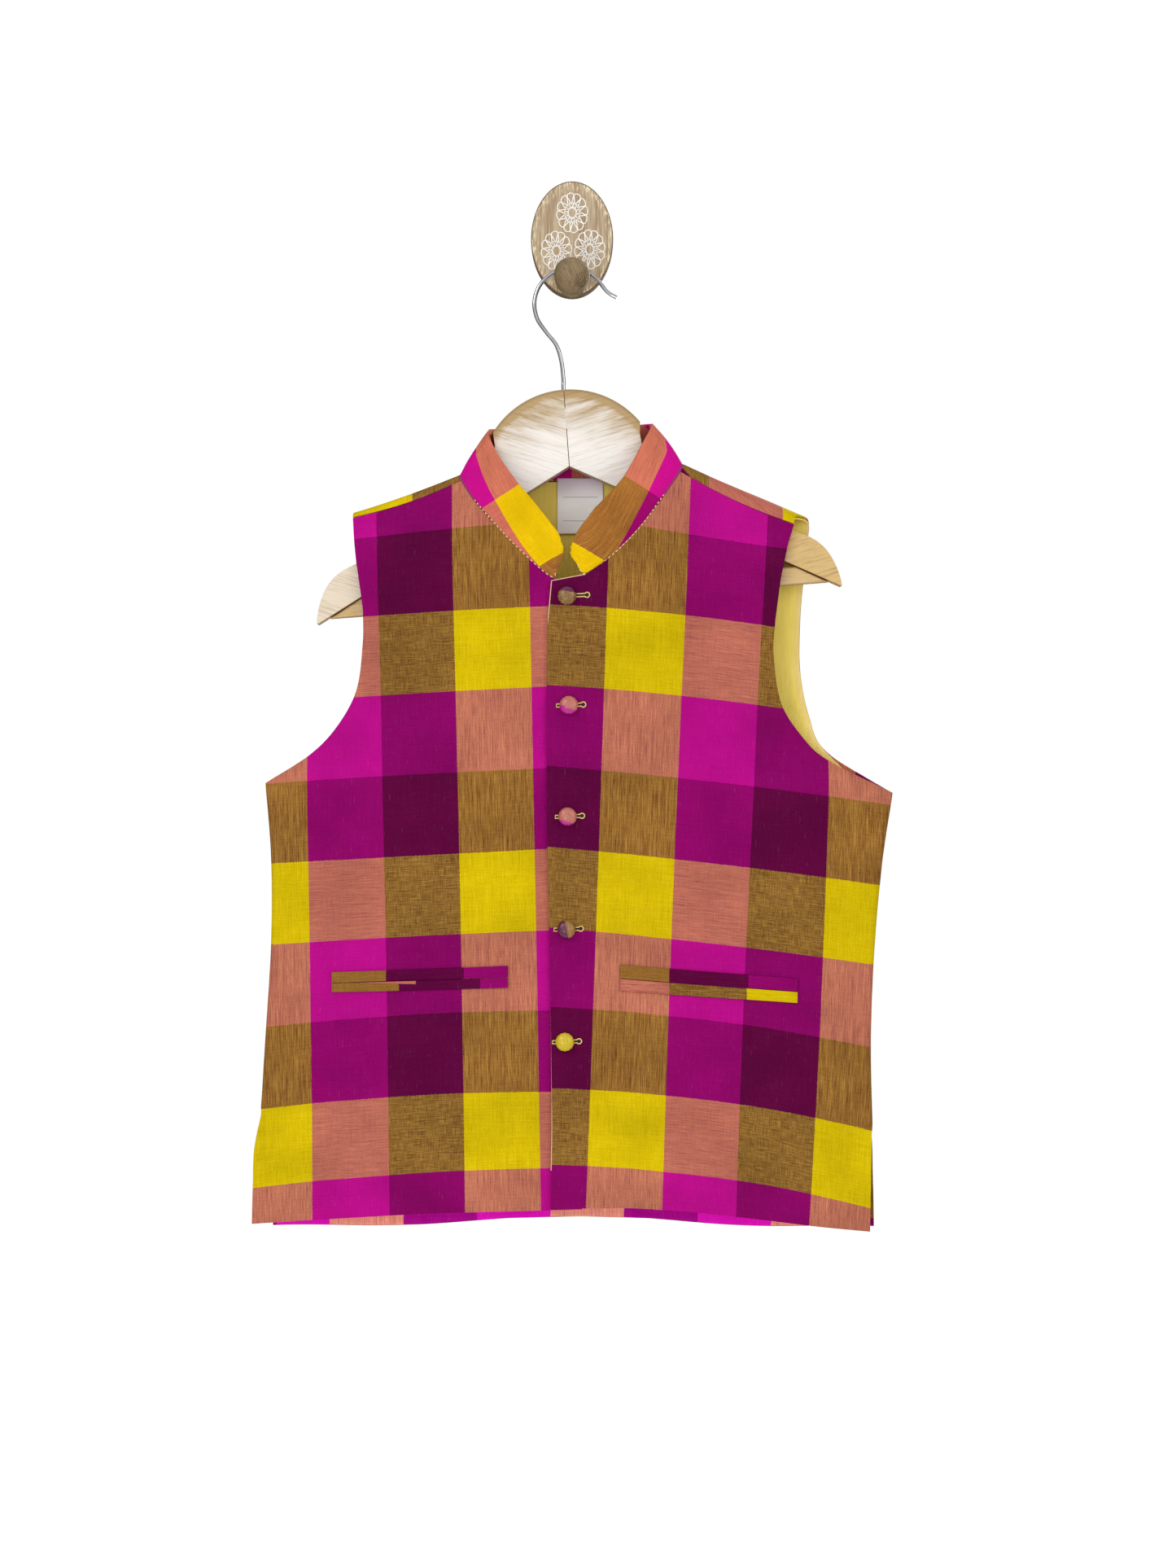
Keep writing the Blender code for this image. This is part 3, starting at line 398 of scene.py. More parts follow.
class Levels:
    def __init__(self, source):
        self.names = [row[0] for row in source["levels"]]
        self.columns = list(zip(*[row[1:] for row in source["levels"]]))
        self.breaks = {self.names.index(name) for name in source["breaks"]}
        self.last = len(self.names) - 1
        self.known = {}

    def at(self, column, place):
        key = (column, place)
        if key not in self.known:
            self.known[key] = curveValue(self.columns[column], self.breaks, place)
        return self.known[key]

    def row(self, name):
        return self.names.index(name)

    def edges(self, side, place):  # the outer and the inner edge of one side
        first = 0 if side == "left" else 2
        return [Vector((self.at(k, place), 0.0, self.at(k + 1, place))) for k in (first, first + 4)]


frontLevels, backLevels = Levels(fronts), Levels(back)


def sideRound(levels, place):
    top, bottom = levels.row("underarm"), levels.row("vent top")
    return shape["sideRound"] * smooth((place - bottom) / 0.3) * smooth((top - place) / 0.3)


def seamOffset(radius, distance):
    half = mix(shape["openHalf"], shape["seamHalf"], radius / shape["sideRound"])
    return half * (1.0 - smooth(distance / 60.0))


def foldDepth(x, z):
    total = 0.0
    for hemX, chestX, topZ, depth, half in fronts["folds"]:
        middle = mix(chestX, hemX, (z + 300.0) / -280.0)
        total += depth * smooth((topZ - z) / 110.0) * math.exp(-(((x - middle) / half) ** 2))
    return total


def clothWave(x, z, edge):  # small waves of the cloth, and puckers beside a seam
    total = 0.0
    for across, along, depth in shape["waves"]:
        total += depth * noise.noise(Vector((x / across, z / along, depth * 40.0)))
    depth, reach = shape["pucker"]
    pucker = noise.noise(Vector((x / 30.0, z / 5.5, 7.7))) + 0.5 * noise.noise(Vector((z / 2.4, 1.0, 3.0)))
    return total + depth * pucker * math.exp(-edge / reach)


def edgeDepth(levels, place, vent, arm, reach):  # depth of the side edge, from seam to vent and to armhole
    low, high = levels.row("vent top"), levels.row("underarm")
    if place < low:
        return mix(shape["seamY"], shape[vent], smooth((low - place) / 2.0))
    return mix(shape["seamY"], shape[arm], smooth((place - high) / reach))


def frontPoint(side, place, u, waves=True):
    row = frontLevels.row
    outer, inner = frontLevels.edges(side, place)
    spot = outer.lerp(inner, u)
    low = smooth(1.0 - place / row("underarm"))
    lift, skew = fronts["hemBow"][side]
    spot.z += low * (lift * math.sin(math.pi * u) + skew * math.sin(2 * math.pi * u))
    high = smooth((place - row("neck mid")) / 2.0)
    spot.z -= high * shape["seamSag"] * math.sin(math.pi * u)
    centre, flat = shape["centreX"], shape["overlapFlat"]
    across = (abs(spot.x - centre) - flat) / (abs(outer.x - centre) - flat)
    across = min(1.0, max(0.0, across))
    edgeY = edgeDepth(frontLevels, place, "ventFrontY", "armholeFrontY", 4.0)
    radius = sideRound(frontLevels, place)
    distance = abs(spot.x - outer.x)
    crown = frontLevels.at(8, place) - edgeY + radius
    spot.y = edgeY - roundDepth(radius, distance) + crown * math.cos(across * math.pi / 2)
    fade = smooth((abs(spot.x - centre) - 14.0) / 30.0)
    spot.y -= foldDepth(spot.x, spot.z) * smooth(distance / 40.0) * fade
    spot.y -= seamOffset(radius, distance) * (place < row("neck bend"))
    if side == "right":
        beside = (spot.x - centre - flat) / (shape["overlapEnd"] - flat)
        lowPart = smooth((row("neck mid") - place) / 1.5)
        spot.y -= shape["overlapLift"] * (1.0 - smooth(beside)) * lowPart
    if waves:
        z, height, half = shape["crease"]
        z += 0.04 * (spot.x if side == "left" else -spot.x)
        spot.y -= height * math.exp(-(((spot.z - z) / half) ** 2))
        quiet = smooth((row("neck mid") + 2.0 - place) / 2.0)
        spot.y += clothWave(spot.x, spot.z, distance) * quiet
    return spot


def backPoint(side, place, u, inset=0.0, waves=True):
    if place > backLevels.last:
        return crestPoint(side, place - backLevels.last, u, inset)
    row = backLevels.row
    outer, inner = backLevels.edges(side, place)
    spot = outer.lerp(inner, u)
    low = smooth(1.0 - place / row("vent top"))
    spot.z -= low * back["sag"] * math.sin(math.pi * u) * math.sin(math.pi * min(1.0, 1.3 * u))
    edgeY = edgeDepth(backLevels, place, "ventBackY", "shoulderBackY", 3.5)
    radius = sideRound(backLevels, place)
    distance = abs(spot.x - outer.x)
    towards = smooth((place - row("underarm")) / 5.0)
    centreY = mix(shape["backCentreY"], shape["shoulderBackY"], towards)
    crown = centreY - edgeY - radius
    spot.y = edgeY + roundDepth(radius, distance) + crown * (1.0 - (1.0 - u) ** back["fullness"])
    spot.y += seamOffset(radius, distance) * smooth((row("blade") - place) / 2.0)
    if waves:
        quiet = smooth((row("neck centre") - place) / 3.0)
        spot.y += min(0.6, clothWave(spot.x, spot.z, distance)) * quiet
    return spot


def crestPoint(side, turn, u, inset):  # the shoulder strip that wraps over the hanger's arm
    outerZ, innerX, innerZ = back["crests"][side]
    angle = math.pi * min(1.0, turn)
    power = 2.0 / shape["crestRound"]
    share = (1.0 - math.copysign(abs(math.cos(angle)) ** power, math.cos(angle))) / 2.0
    rise = abs(math.sin(angle)) ** power
    base = backPoint(side, backLevels.last, u, waves=False)
    seam = frontPoint(side, frontLevels.last, u, waves=False)
    seam.z += shape["gap"] + 0.1
    base.y -= inset
    seam.y += inset
    spot = base.lerp(seam, share)
    middle = base.lerp(seam, 0.5)
    neckX = backPoint(side, backLevels.last, 1.0, waves=False).x
    neckX += frontPoint(side, frontLevels.last, 1.0, waves=False).x
    spot.x += u * (innerX - neckX / 2.0) * rise
    spot.z += (mix(outerZ, innerZ, u) - inset - middle.z) * rise
    return spot


def surfaceNormal(point, place, u, last):
    step = 0.01
    a, b = max(0.0, place - step), min(last, place + step)
    c, d = max(0.0, u - step), min(1.0, u + step)
    return (point(b, u) - point(a, u)).cross(point(place, d) - point(place, c)).normalized()


def rowPlaces(point, levels, step):
    places = [0.0]
    for start in range(levels.last):
        length = max((point(start + 1, u) - point(start, u)).length for u in (0.0, 1.0))
        count = max(2, round(length / step))
        places += [mix(start, start + 1, (k + 1) / count) for k in range(count)]
    return places


def columnPlaces(width, columns):  # close together at the rounded side, then even
    side = shape["sideRound"]
    near = [side * (1.0 - math.cos(k * math.pi / 10)) / width for k in range(5)]
    return near + [mix(side / width, 1.0, k / columns) for k in range(columns + 1)]


def bandPlace(edges, value, t):  # place in the check's bands, from the edges' curves
    first = edges[0]
    spots = [a + b * t + c * t * t for a, b, c in edges[1:]]
    sign = 1.0 if spots[-1] > spots[0] else -1.0
    k = 0
    while k < len(spots) - 2 and sign * value > sign * spots[k + 1]:
        k += 1
    return first + k + (value - spots[k]) / (spots[k + 1] - spots[k])


def frontCloth(side, spot):
    u = bandPlace(fronts["columns"][side], spot.x, (spot.z + 360.0) / 100.0)
    v = bandPlace(fronts["rows"][side], spot.z, spot.x / 100.0)
    return u, v


def backCloth(spot, length):
    x, number, width = back["columnEdge"]
    u = number - (spot.x - x) / width
    z, number, height = back["rowEdge"]
    return u, number + (z - length) / height


checkCloth = {
    # linear colours of warp and weft crossings: warp yellow, magenta, dark by weft magenta, dark, yellow
    "yellowWarp": ((0.470, 0.150, 0.092), (0.275, 0.125, 0.024), (0.624, 0.457, 0.001)),
    "magentaWarp": ((0.450, 0.003, 0.226), (0.262, 0.001, 0.126), (0.465, 0.136, 0.094)),
    "darkWarp": ((0.228, 0.001, 0.111), (0.101, 0.001, 0.042), (0.235, 0.115, 0.022)),
    "band": 45.0,  # mm
    "thread": 0.55,  # mm between threads
    "slubs": ((0.55, 30.0), (0.36, 9.0)),  # width and length of long and short slubs, mm
    "tweed": (0.42, 7.0),  # fine flecks both ways, strongest in the brown cells
    "thin": (0.5, 9.0),  # single pale threads
}


def makeCheckGroup():
    inputs = (("Cloth place", "Vector", None), ("Warp slubs", "Float", 1.0), ("Weft slubs", "Float", 1.0))
    n, given, out = newGroup("checkWeave", inputs, (("Color", "Color"), ("Height", "Float")))
    vector, band = given["Cloth place"], checkCloth["band"]
    parts = n.split(vector)

    def streak(across, along, rise):  # long thin slubs: sizes in mm
        scale = (band / across, band / along, 1.0) if rise else (band / along, band / across, 1.0)
        return n.noise(vector, scale, 3.0, 0.6)

    ragged = n.timesAdd(n.noise(vector, (60.0, 60.0, 1.0), 1.0), 0.022, -0.011)
    shares = [n.calc("FRACT", n.calc("DIVIDE", n.add(parts[k], ragged), 3.0)) for k in (0, 1)]
    colours = []
    for warp in ("yellowWarp", "magentaWarp", "darkWarp"):
        colours.append(n.put("ValToRGB", {0: shares[1]})[0])
        ramp = colours[-1].node.color_ramp
        ramp.interpolation = "CONSTANT"
        ramp.elements.new(0.5)
        for k, colour in enumerate(checkCloth[warp]):
            ramp.elements[k].position = k / 3.0
            ramp.elements[k].color = (*colour, 1.0)
    pastYellow = n.above(shares[0], 1.0 / 3.0)
    pastMagenta = n.above(shares[0], 2.0 / 3.0)
    yellowWeft = n.above(shares[1], 2.0 / 3.0)
    yellowWarp = n.less(1.0, pastYellow)
    base = n.blend(pastMagenta, n.blend(pastYellow, colours[0], colours[1]), colours[2])
    # slubs run along the warp and the weft, and show most where one of the two threads is yellow
    long, short = checkCloth["slubs"]
    rise, run = [n.less(n.add(streak(*long, way), streak(*short, way)), 1.0) for way in (True, False)]
    rise = n.times(rise, n.times(n.timesAdd(yellowWarp, 0.58, 0.2), given["Warp slubs"]))
    run = n.times(run, n.times(n.timesAdd(yellowWeft, 0.42, 0.16), given["Weft slubs"]))
    tweed = n.less(n.add(streak(*checkCloth["tweed"], True), streak(*checkCloth["tweed"], False)), 1.0)
    tweed = n.times(tweed, n.timesAdd(n.times(pastMagenta, yellowWeft), 0.9, 0.12))
    fleck = n.noise(vector, (80.0, 80.0, 1.0), 1.0)
    grain = n.timesAdd(n.less(fleck, 0.5), 0.2, tweed)
    darkWeft = n.below(n.size(n.less(shares[1], 0.5)), 1.0 / 6.0)
    amount = n.timesAdd(n.size(n.less(yellowWarp, yellowWeft)), 1.0, 0.55)
    amount = n.timesAdd(n.times(darkWeft, yellowWarp), 0.7, amount)
    slub = n.timesAdd(n.add(n.add(rise, run), grain), amount, 0.5, clamp=True)
    dark = n.multiply(base, (0.42, 0.28, 0.55))
    pale = n.blend(1.0, n.multiply(base, (1.3, 1.5, 1.25)), (0.085, 0.045, 0.02), "ADD")
    colour = n.blend(n.ramp(slub, 0.5, 1.0), n.blend(n.ramp(slub, 0.0, 0.5), dark, base), pale)
    thin = n.times(n.ramp(streak(*checkCloth["thin"], True), 0.66, 0.76), 0.15)
    colour = n.blend(thin, colour, (0.72, 0.32, 0.36))
    cloud = n.ramp(n.noise(vector, (1.1, 1.4, 1.0), 3.0), 0.3, 0.7, 0.86, 1.12)  # of dye
    colour = n.multiply(colour, n.put("CombineColor", {0: cloud, 1: cloud, 2: cloud})[0])
    turns = math.pi * band / checkCloth["thread"]
    weave = n.times(*[n.sine(n.times(parts[k], turns)) for k in (0, 1)])
    height = n.timesAdd(n.add(rise, run), 0.9, n.times(weave, 0.35))
    n.fill(out, {"Color": colour, "Height": height})
    return n.tree


checkGroup = makeCheckGroup()


def checkMaterial(name, warpSlubs=1.0, weftSlubs=1.0, gloss=0.82, tint=None, shine=0.03, more=()):
    n = newMaterial(name)
    place = n.put("UVMap", uv_map="UVMap")[0]
    inputs = {"Cloth place": place, "Warp slubs": warpSlubs, "Weft slubs": weftSlubs}
    colour, height = n.put("Group", inputs, node_tree=checkGroup)[0:2]
    look = {"Specular IOR Level": shine, "Sheen Weight": 0.015, "Sheen Roughness": 0.5}
    look.update({"Sheen Tint": (0.9, 0.35, 0.4), **dict(more)})
    return n.shade(n.multiply(colour, tint) if tint else colour, gloss, (height, 0.5, 0.00025), look)


def plainWeave(name, colour, pale):  # plain cloth on Object coordinates
    n = newMaterial(name)
    place = n.spot()
    parts = n.split(place)
    turns = math.pi / (0.5 * mm)
    weave = n.times(*[n.sine(n.times(parts[k], turns)) for k in (0, 2)])
    slub, cloud = n.noise(place, (700.0, 700.0, 60.0)), n.noise(place, 30.0)
    share = n.ramp(n.timesAdd(slub, 0.6, n.times(cloud, 0.4)), 0.3, 0.7)
    look = {"Specular IOR Level": 0.25, "Sheen Weight": 0.05}
    return n.shade(n.blend(share, colour, pale), 0.8, (n.timesAdd(slub, 1.2, weave), 0.3, 0.0002), look)


def threadFinish(name, colour, pale):
    n = newMaterial(name)
    twist = n.noise(n.spot(), 2500.0, 1.0)
    return n.shade(n.blend(n.ramp(twist, 0.35, 0.65), colour, pale), 0.75, (twist, 0.4, 0.0001))


def satinFinish():  # white satin tab, lavender in its upper part, with two thin woven rules
    n = newMaterial("labelSatin")
    u, v = n.split(n.put("UVMap", uv_map="UVMap")[0])[0:2]
    colour = n.blend(n.ramp(v, 0.62, 1.0), (0.98, 0.98, 0.97), (0.72, 0.62, 0.78))
    # soft grey patches: painted shade of small folds in the satin
    folds = n.noise(n.spot(), (90.0, 90.0, 240.0))
    colour = n.blend(n.ramp(folds, 0.4, 0.75, 0.0, 0.2), colour, (0.70, 0.68, 0.74))
    inside = n.below(n.size(n.less(u, 0.5)), 0.38)
    for level in (0.66, 0.23):
        line = n.times(n.below(n.size(n.less(v, level)), 0.009), inside)
        colour = n.blend(n.times(line, 0.55), colour, (0.30, 0.29, 0.36))
    return n.shade(colour, 0.36, (n.sine(n.times(v, 260.0)), 0.25, 0.00008))


checkFinish = checkMaterial("handloomCheck")
collarFinish = checkMaterial("collarCheck", 0.7, 0.7, 0.7, (1.33, 1.15, 1.13))
paintedLightHemFinish = checkMaterial("hemCheckPaintedLight", 0.8, 0.8, 0.85, (2.1, 2.3, 3.0))  # the same check made much paler: painted light on the turned-up hem, which lies in shade inside the back
weltFinish = checkMaterial("weltCheck", 0.15, 1.3)
buttonCoat = {"Coat Weight": 0.5, "Coat Roughness": 0.14}
buttonFinish = checkMaterial("buttonCheck", 0.8, 0.8, 0.15, None, 0.4, buttonCoat)
liningFinish = plainWeave("oliveLining", (0.86, 0.66, 0.12), (0.97, 0.78, 0.18))
bandFinish = plainWeave("liningEdge", (0.84, 0.61, 0.18), (0.93, 0.72, 0.26))
labelFinish = satinFinish()
stitchFinish = threadFinish("peachThread", (0.82, 0.50, 0.30), (0.95, 0.72, 0.50))
seamFinish = threadFinish("seamCloth", (0.20, 0.004, 0.09), (0.34, 0.02, 0.16))
pipingFinish = threadFinish("pipingThread", (0.66, 0.38, 0.22), (0.80, 0.54, 0.34))
holeFinish = threadFinish("yellowThread", (0.62, 0.44, 0.10), (0.80, 0.64, 0.22))
print("cloth finishes made")


def frontPanel(name, side, node):
    point = partial(frontPoint, side)
    rows = []
    for place in rowPlaces(point, frontLevels, shape["step"]):
        width = (point(place, 1.0) - point(place, 0.0)).length
        rows.append([point(place, u) for u in columnPlaces(width, 66)])
    mesh = gridMesh(name, rows, [[frontCloth(side, spot) for spot in row] for row in rows])
    piece = newPiece(name, mesh, [checkFinish, liningFinish], [node])
    if side == "right":
        piece.data.flip_normals()
    thicken(piece, fronts["thickness"], 0.45, 1)
    return piece


def backPlaces():
    places = rowPlaces(partial(backPoint, "right"), backLevels, shape["step"])
    return places + [backLevels.last + (k + 1) / back["turns"] for k in range(back["turns"])]


def backRows(side, places, spots):  # rows of spots, with the cloth place of each column's length
    rows, cloth = [], []
    lengths = None
    for place in places:
        row = spots(side, place)
        if place <= backLevels.last:
            lengths = [spot.z for spot in row]
        else:
            lengths = [old + (spot - before).length for old, spot, before in zip(lengths, row, rows[-1])]
        rows.append(row)
        cloth.append([backCloth(spot, length) for spot, length in zip(row, lengths)])
    return rows, cloth


def backHalf(side, place):
    width = (backPoint(side, place, 1.0) - backPoint(side, place, 0.0)).length
    return [backPoint(side, place, u) for u in columnPlaces(width, 62)]


def movedIn(side, place, u, distance):  # a spot inside the back's cloth
    if place > backLevels.last:
        return backPoint(side, place, u, distance + shape["liningEase"])
    point = partial(backPoint, side)
    normal = surfaceNormal(point, place, u, backLevels.last) * (-1.0 if side == "left" else 1.0)
    ease = shape["liningEase"] * smooth(place - backLevels.last + 1.0)
    spot = point(place, u) + normal * (distance + ease)
    if u > 0.9999 and place <= backLevels.row("neck centre"):
        spot.x = shape["backCentreX"]
    return spot


def halved(low, high, steps, below):  # the place where below stops being true
    for _ in range(steps):
        middle = (low + high) / 2
        low, high = (middle, high) if below(middle) else (low, middle)
    return low


def facingTop(side, height):
    target = backPoint(side, 0.0, 1.0).z + height
    return halved(0.0, 3.0, 30, lambda place: backPoint(side, place, 1.0).z < target)


def nearArmhole(spot):
    first = 0 if spot.x < shape["backCentreX"] else 2
    low, high = float(backLevels.row("underarm")), float(backLevels.last)
    place = halved(low, high, 20, lambda middle: backLevels.at(first + 1, middle) < spot.z)
    return abs(spot.x - backLevels.at(first, place))


def hemCloth(spot):  # the turned-up hem shows the cloth's face again, folded over
    x, column, width = back["hemColumn"]
    z, row, height = back["hemRow"]
    return column - (spot.x - x) / width, row + (spot.z - z) / height


def liningHalf(side, place):
    low = 1.0 - smooth((place - backLevels.row("underarm") - 0.4) / 0.6)
    least, more, near = back["liningEdge"]
    edge = least + more * low
    width = (backPoint(side, place, 1.0) - backPoint(side, place, 0.0)).length
    shares = [k * near / width / 4 for k in range(4)]
    shares += [mix(near / width, 1.0, k / 44) for k in range(45)]
    return [movedIn(side, place, mix(edge / width, 1.0, u), back["inward"]) for u in shares]


def backPieces():
    places = backPlaces()
    outer = [gridMesh("back", *backRows(side, places, backHalf)) for side in ("left", "right")]
    mesh = joinMeshes("backPanel", outer, 0.05)
    panel = newPiece("backPanel", mesh, [checkFinish], ["back_panel"])
    thicken(panel, back["thickness"], 0.4)
    inner, facing = [], []
    for side in ("left", "right"):
        top = facingTop(side, back["hemHigh"])
        kept = [top + 0.02] + [p for p in places if p > top + 0.05]
        inner.append(gridMesh("lining", *backRows(side, kept, liningHalf)))

        def point(i, j):
            spot = movedIn(side, mix(0.02, top, j / 11), mix(0.012, 1.0, i / 60), back["inward"])
            return spot, hemCloth(spot)

        facing.append(sampledMesh("facing", 60, 11, point))
    mesh = joinMeshes("backLining", inner, 0.05)
    lining = newPiece("backLining", mesh, [liningFinish, bandFinish], ["back_lining"])
    lowest, width = back["edgeBand"]
    for face in mesh.polygons:
        spots = [mesh.vertices[k].co / mm for k in face.vertices]
        middle = sum(spots, Vector()) / len(spots)
        if middle.z > lowest and nearArmhole(middle) < width:
            face.material_index = 1
    mesh = joinMeshes("backHemFacing", facing, 0.05)
    hem = newPiece("backHemFacing", mesh, [paintedLightHemFinish], ["back_hem_facing"])
    for piece in (lining, hem):
        thicken(piece, shape["liningThick"], 0.3)
    return panel, lining, hem


frontRight = frontPanel("frontRight", "left", "front_right")
frontLeft = frontPanel("frontLeft", "right", "front_left")
backPanel, backLining, backHemFacing = backPieces()
print("fronts, back and lining made")


collar = {
    "thickness": 2.4,
    "clear": 1.3,
    "bulge": 1.1,
    "inset": 0.6,
    "steps": 8,
    "noseStations": 3,
    "layers": 14,
    # top edge at each neck station: name, x, y, z
    "leftTop": (
        ("collar end", -11.4, -57.5, -173.3),
        ("neck bend", -20.7, -52.5, -161.0),
        ("neck mid", -32.5, -41.5, -145.8),
        ("neck high", -43.0, -30.0, -130.0),
        ("shoulder", -48.2, -22.5, -119.5),
    ),
    "rightTop": (
        ("collar end", 12.0, -57.5, -166.0),
        ("neck bend", 18.4, -52.5, -158.5),
        ("neck mid", 30.4, -41.5, -143.7),
        ("neck high", 40.5, -30.0, -124.6),
        ("shoulder", 45.6, -22.5, -114.6),
    ),
    # nose, from its bend to its tip: lower x, lower z, upper x, upper z
    "leftNose": ((-8.3, -198.3, -7.4, -179.6), (-6.1, -193.2, -5.7, -184.6), (-5.3, -190.8, -5.2, -187.2)),
    "rightNose": ((3.2, -196.6, 4.4, -176.3), (1.0, -193.4, 1.0, -182.8), (0.3, -190.5, 0.2, -186.4)),
    # over the crests and behind the neck: side, level, turn, top x, y, z
    "behind": (
        ("left", "shoulder base", 0.85, -48.6, -19.0, -116.2),
        ("left", "shoulder base", 0.5, -48.4, -14.0, -113.6),
        ("left", "shoulder base", 0.15, -47.0, -9.6, -112.6),
        ("left", "shoulder base", 0.0, -43.0, -7.4, -112.2),
        ("left", "neck side", 0.0, -23.0, -6.9, -112.0),
        ("right", "neck centre", 0.0, 1.5, -6.7, -111.6),
        ("right", "neck side", 0.0, 24.0, -6.9, -110.4),
        ("right", "shoulder base", 0.0, 42.5, -7.4, -109.4),
        ("right", "shoulder base", 0.15, 46.2, -9.6, -109.6),
        ("right", "shoulder base", 0.5, 47.0, -14.0, -110.2),
        ("right", "shoulder base", 0.85, 46.8, -19.0, -111.6),
    ),
    "straight": (7, 8, 9, 10, 11, 15, 16, 17, 18, 19),
    # how high the check's lengthwise edge lies at each station, as a share of the collar's height
    "stripe": (-0.12, -0.12, -0.1, -0.05, 0.1, 0.3, 0.44, 0.55, 0.6, 0.62, 0.64, 0.9, 1.2, 1.3, 1.3, 1.25,
               1.2, 0.95, 0.6, 0.45, 0.37, 0.24, -0.03, -0.1, -0.1, -0.12, -0.12),
    # the check's cross edges behind the neck: band place at each station between the shoulders
    "cross": (3.46, 3.5, 3.55, 3.6, 3.6, 3.25, 2.96, 2.6, 2.9, 3.2, 3.5, 3.55, 3.58),
    "shoulder": 7,  # station of the left shoulder seam
    # the check beside the neck: band number, then factors of x and z, start and length of a band
    "beside": {"left": (3.0, 0.52, -0.855, -112.1, -47.0), "right": (4.0, -0.506, -0.862, -108.5, 49.0)},
    "stripeReach": 30.0,
}


def sideStations(side):
    seamY = frontPoint(side, frontLevels.row("collar end"), 1.0, waves=False).y
    stations = []
    for lowX, lowZ, highX, highZ in reversed(collar[side + "Nose"]):
        stations.append((Vector((lowX, seamY - 0.4, lowZ)), Vector((highX, seamY - 1.4, highZ))))
    for name, x, y, z in collar[side + "Top"]:
        low = frontPoint(side, frontLevels.row(name), 1.0, waves=False)
        stations.append((low, Vector((x, min(y, seamY) if name == "collar end" else y, z))))
    return stations


def collarEdges():
    stations = sideStations("left")
    for side, level, turn, x, y, z in collar["behind"]:
        low = backPoint(side, backLevels.row(level) + turn, 1.0, waves=False)
        stations.append((low, Vector((x, y, z))))
    stations += sideStations("right")[::-1]
    edges = []
    for values in curveSpots([(*low, *high) for low, high in stations], collar["straight"], collar["steps"]):
        low, high = Vector(values[:3]), Vector(values[3:])
        edges.append((low + (high - low).normalized() * collar["clear"], high))
    return edges


def collarCloth(spot, place, share):
    first = collar["shoulder"]
    stripe = curveValue(collar["stripe"], (), place)
    across = 1.0 - (share - stripe) * collar["stripeReach"] / checkCloth["band"]
    if first < place < first + len(collar["cross"]) - 1:
        return across, curveValue(collar["cross"], (), place - first)
    number, xShare, zShare, start, length = collar["beside"]["left" if place <= first else "right"]
    return across, number + (xShare * spot.x + zShare * spot.z + start) / length


def collarLayers(extra=0.0, shares=None):
    edges = collarEdges()
    still = collar["noseStations"] * collar["steps"]
    shares = shares or [k / collar["layers"] for k in range(collar["layers"] + 1)]
    rows, cloth = [], []
    for share in shares:
        row, line = [], []
        for k, (low, high) in enumerate(edges):
            level = min(max(k, still), len(edges) - 1 - still)
            before, here, after = edges[level - 1], edges[level], edges[level + 1]
            run = after[0].lerp(after[1], 0.5) - before[0].lerp(before[1], 0.5)
            normal = (here[1] - here[0]).cross(run).normalized()
            bulge = collar["bulge"] * math.sin(math.pi * share) * min(1.0, (high - low).length / 28.0)
            wave = 0.12 * noise.noise(Vector((k / 3.0, share * 4.0, 5.0)))
            spot = low.lerp(high, share) + normal * (bulge - collar["inset"] + extra + wave)
            row.append(spot)
            line.append(collarCloth(spot, k / collar["steps"], share))
        rows.append(row)
        cloth.append(line)
    return rows, cloth


def makeCollar():
    mesh = gridMesh("standCollar", *collarLayers())
    piece = newPiece("standCollar", mesh, [collarFinish], ["collar"])
    thicken(piece, collar["thickness"], 0.7, 0, False)
    return piece


standCollar = makeCollar()
print("collar made")


def locateFront(side, x, z):
    def across(place):
        outer, inner = frontPoint(side, place, 0.0), frontPoint(side, place, 1.0)
        return (x - outer.x) / (inner.x - outer.x)

    high = float(frontLevels.row("neck corner"))
    place = halved(0.0, high, 40, lambda middle: frontPoint(side, middle, across(middle)).z < z)
    return place, across(place)


def frontSurface(side, x, z, distance):
    point = partial(frontPoint, side)
    place, u = locateFront(side, x, z)
    normal = surfaceNormal(point, place, u, frontLevels.last)
    if normal.y > 0:
        normal = -normal
    return point(place, u) + normal * distance, normal


label = {
    "left": -8.6,
    "right": 18.3,
    "top": -141.4,
    "bottom": -174.0,
    "y": -9.5,  # in front of the back's lining
    "thickness": 0.5,
    "curl": 0.5,
}


def makeLabel():
    def point(i, j):
        x, z = mix(label["left"], label["right"], i / 24), mix(label["bottom"], label["top"], j / 24)
        curl = label["curl"] * (1.0 - j / 24) ** 2 * (1.0 + 0.4 * math.sin(i / 5.0))
        return Vector((x, label["y"] - curl, z)), (i / 24, j / 24)

    mesh = sampledMesh("neckLabel", 24, 24, point)
    piece = newPiece("neckLabel", mesh, [labelFinish], ["neck_label"])
    thicken(piece, label["thickness"], 0.15)
    return piece


pockets = {
    "outside": 1.55,  # mm from the middle of the front to the middle of a welt
    "thickness": 1.0,
    # node, side, left x, top z, right x, top z, height left, height right
    "places": (
        ("pocket_right", "left", -138.6, -430.5, -36.5, -425.8, 11.6, 12.6),
        ("pocket_left", "right", 27.7, -425.0, 130.6, -434.3, 15.0, 14.1),
    ),
    # each welt's two colour changes as x, the band number at the first, its direction, its row
    "bands": {
        "pocket_right_upper": (-107.0, -61.7, 0.0, -1.0, 1.5),
        "pocket_right_lower": (-99.4, -52.3, 0.0, -1.0, 1.5),
        "pocket_left_upper": (55.8, 101.6, 0.0, -1.0, 1.5),
        "pocket_left_lower": (55.8, 100.6, 2.0, 1.0, 2.5),
    },
}


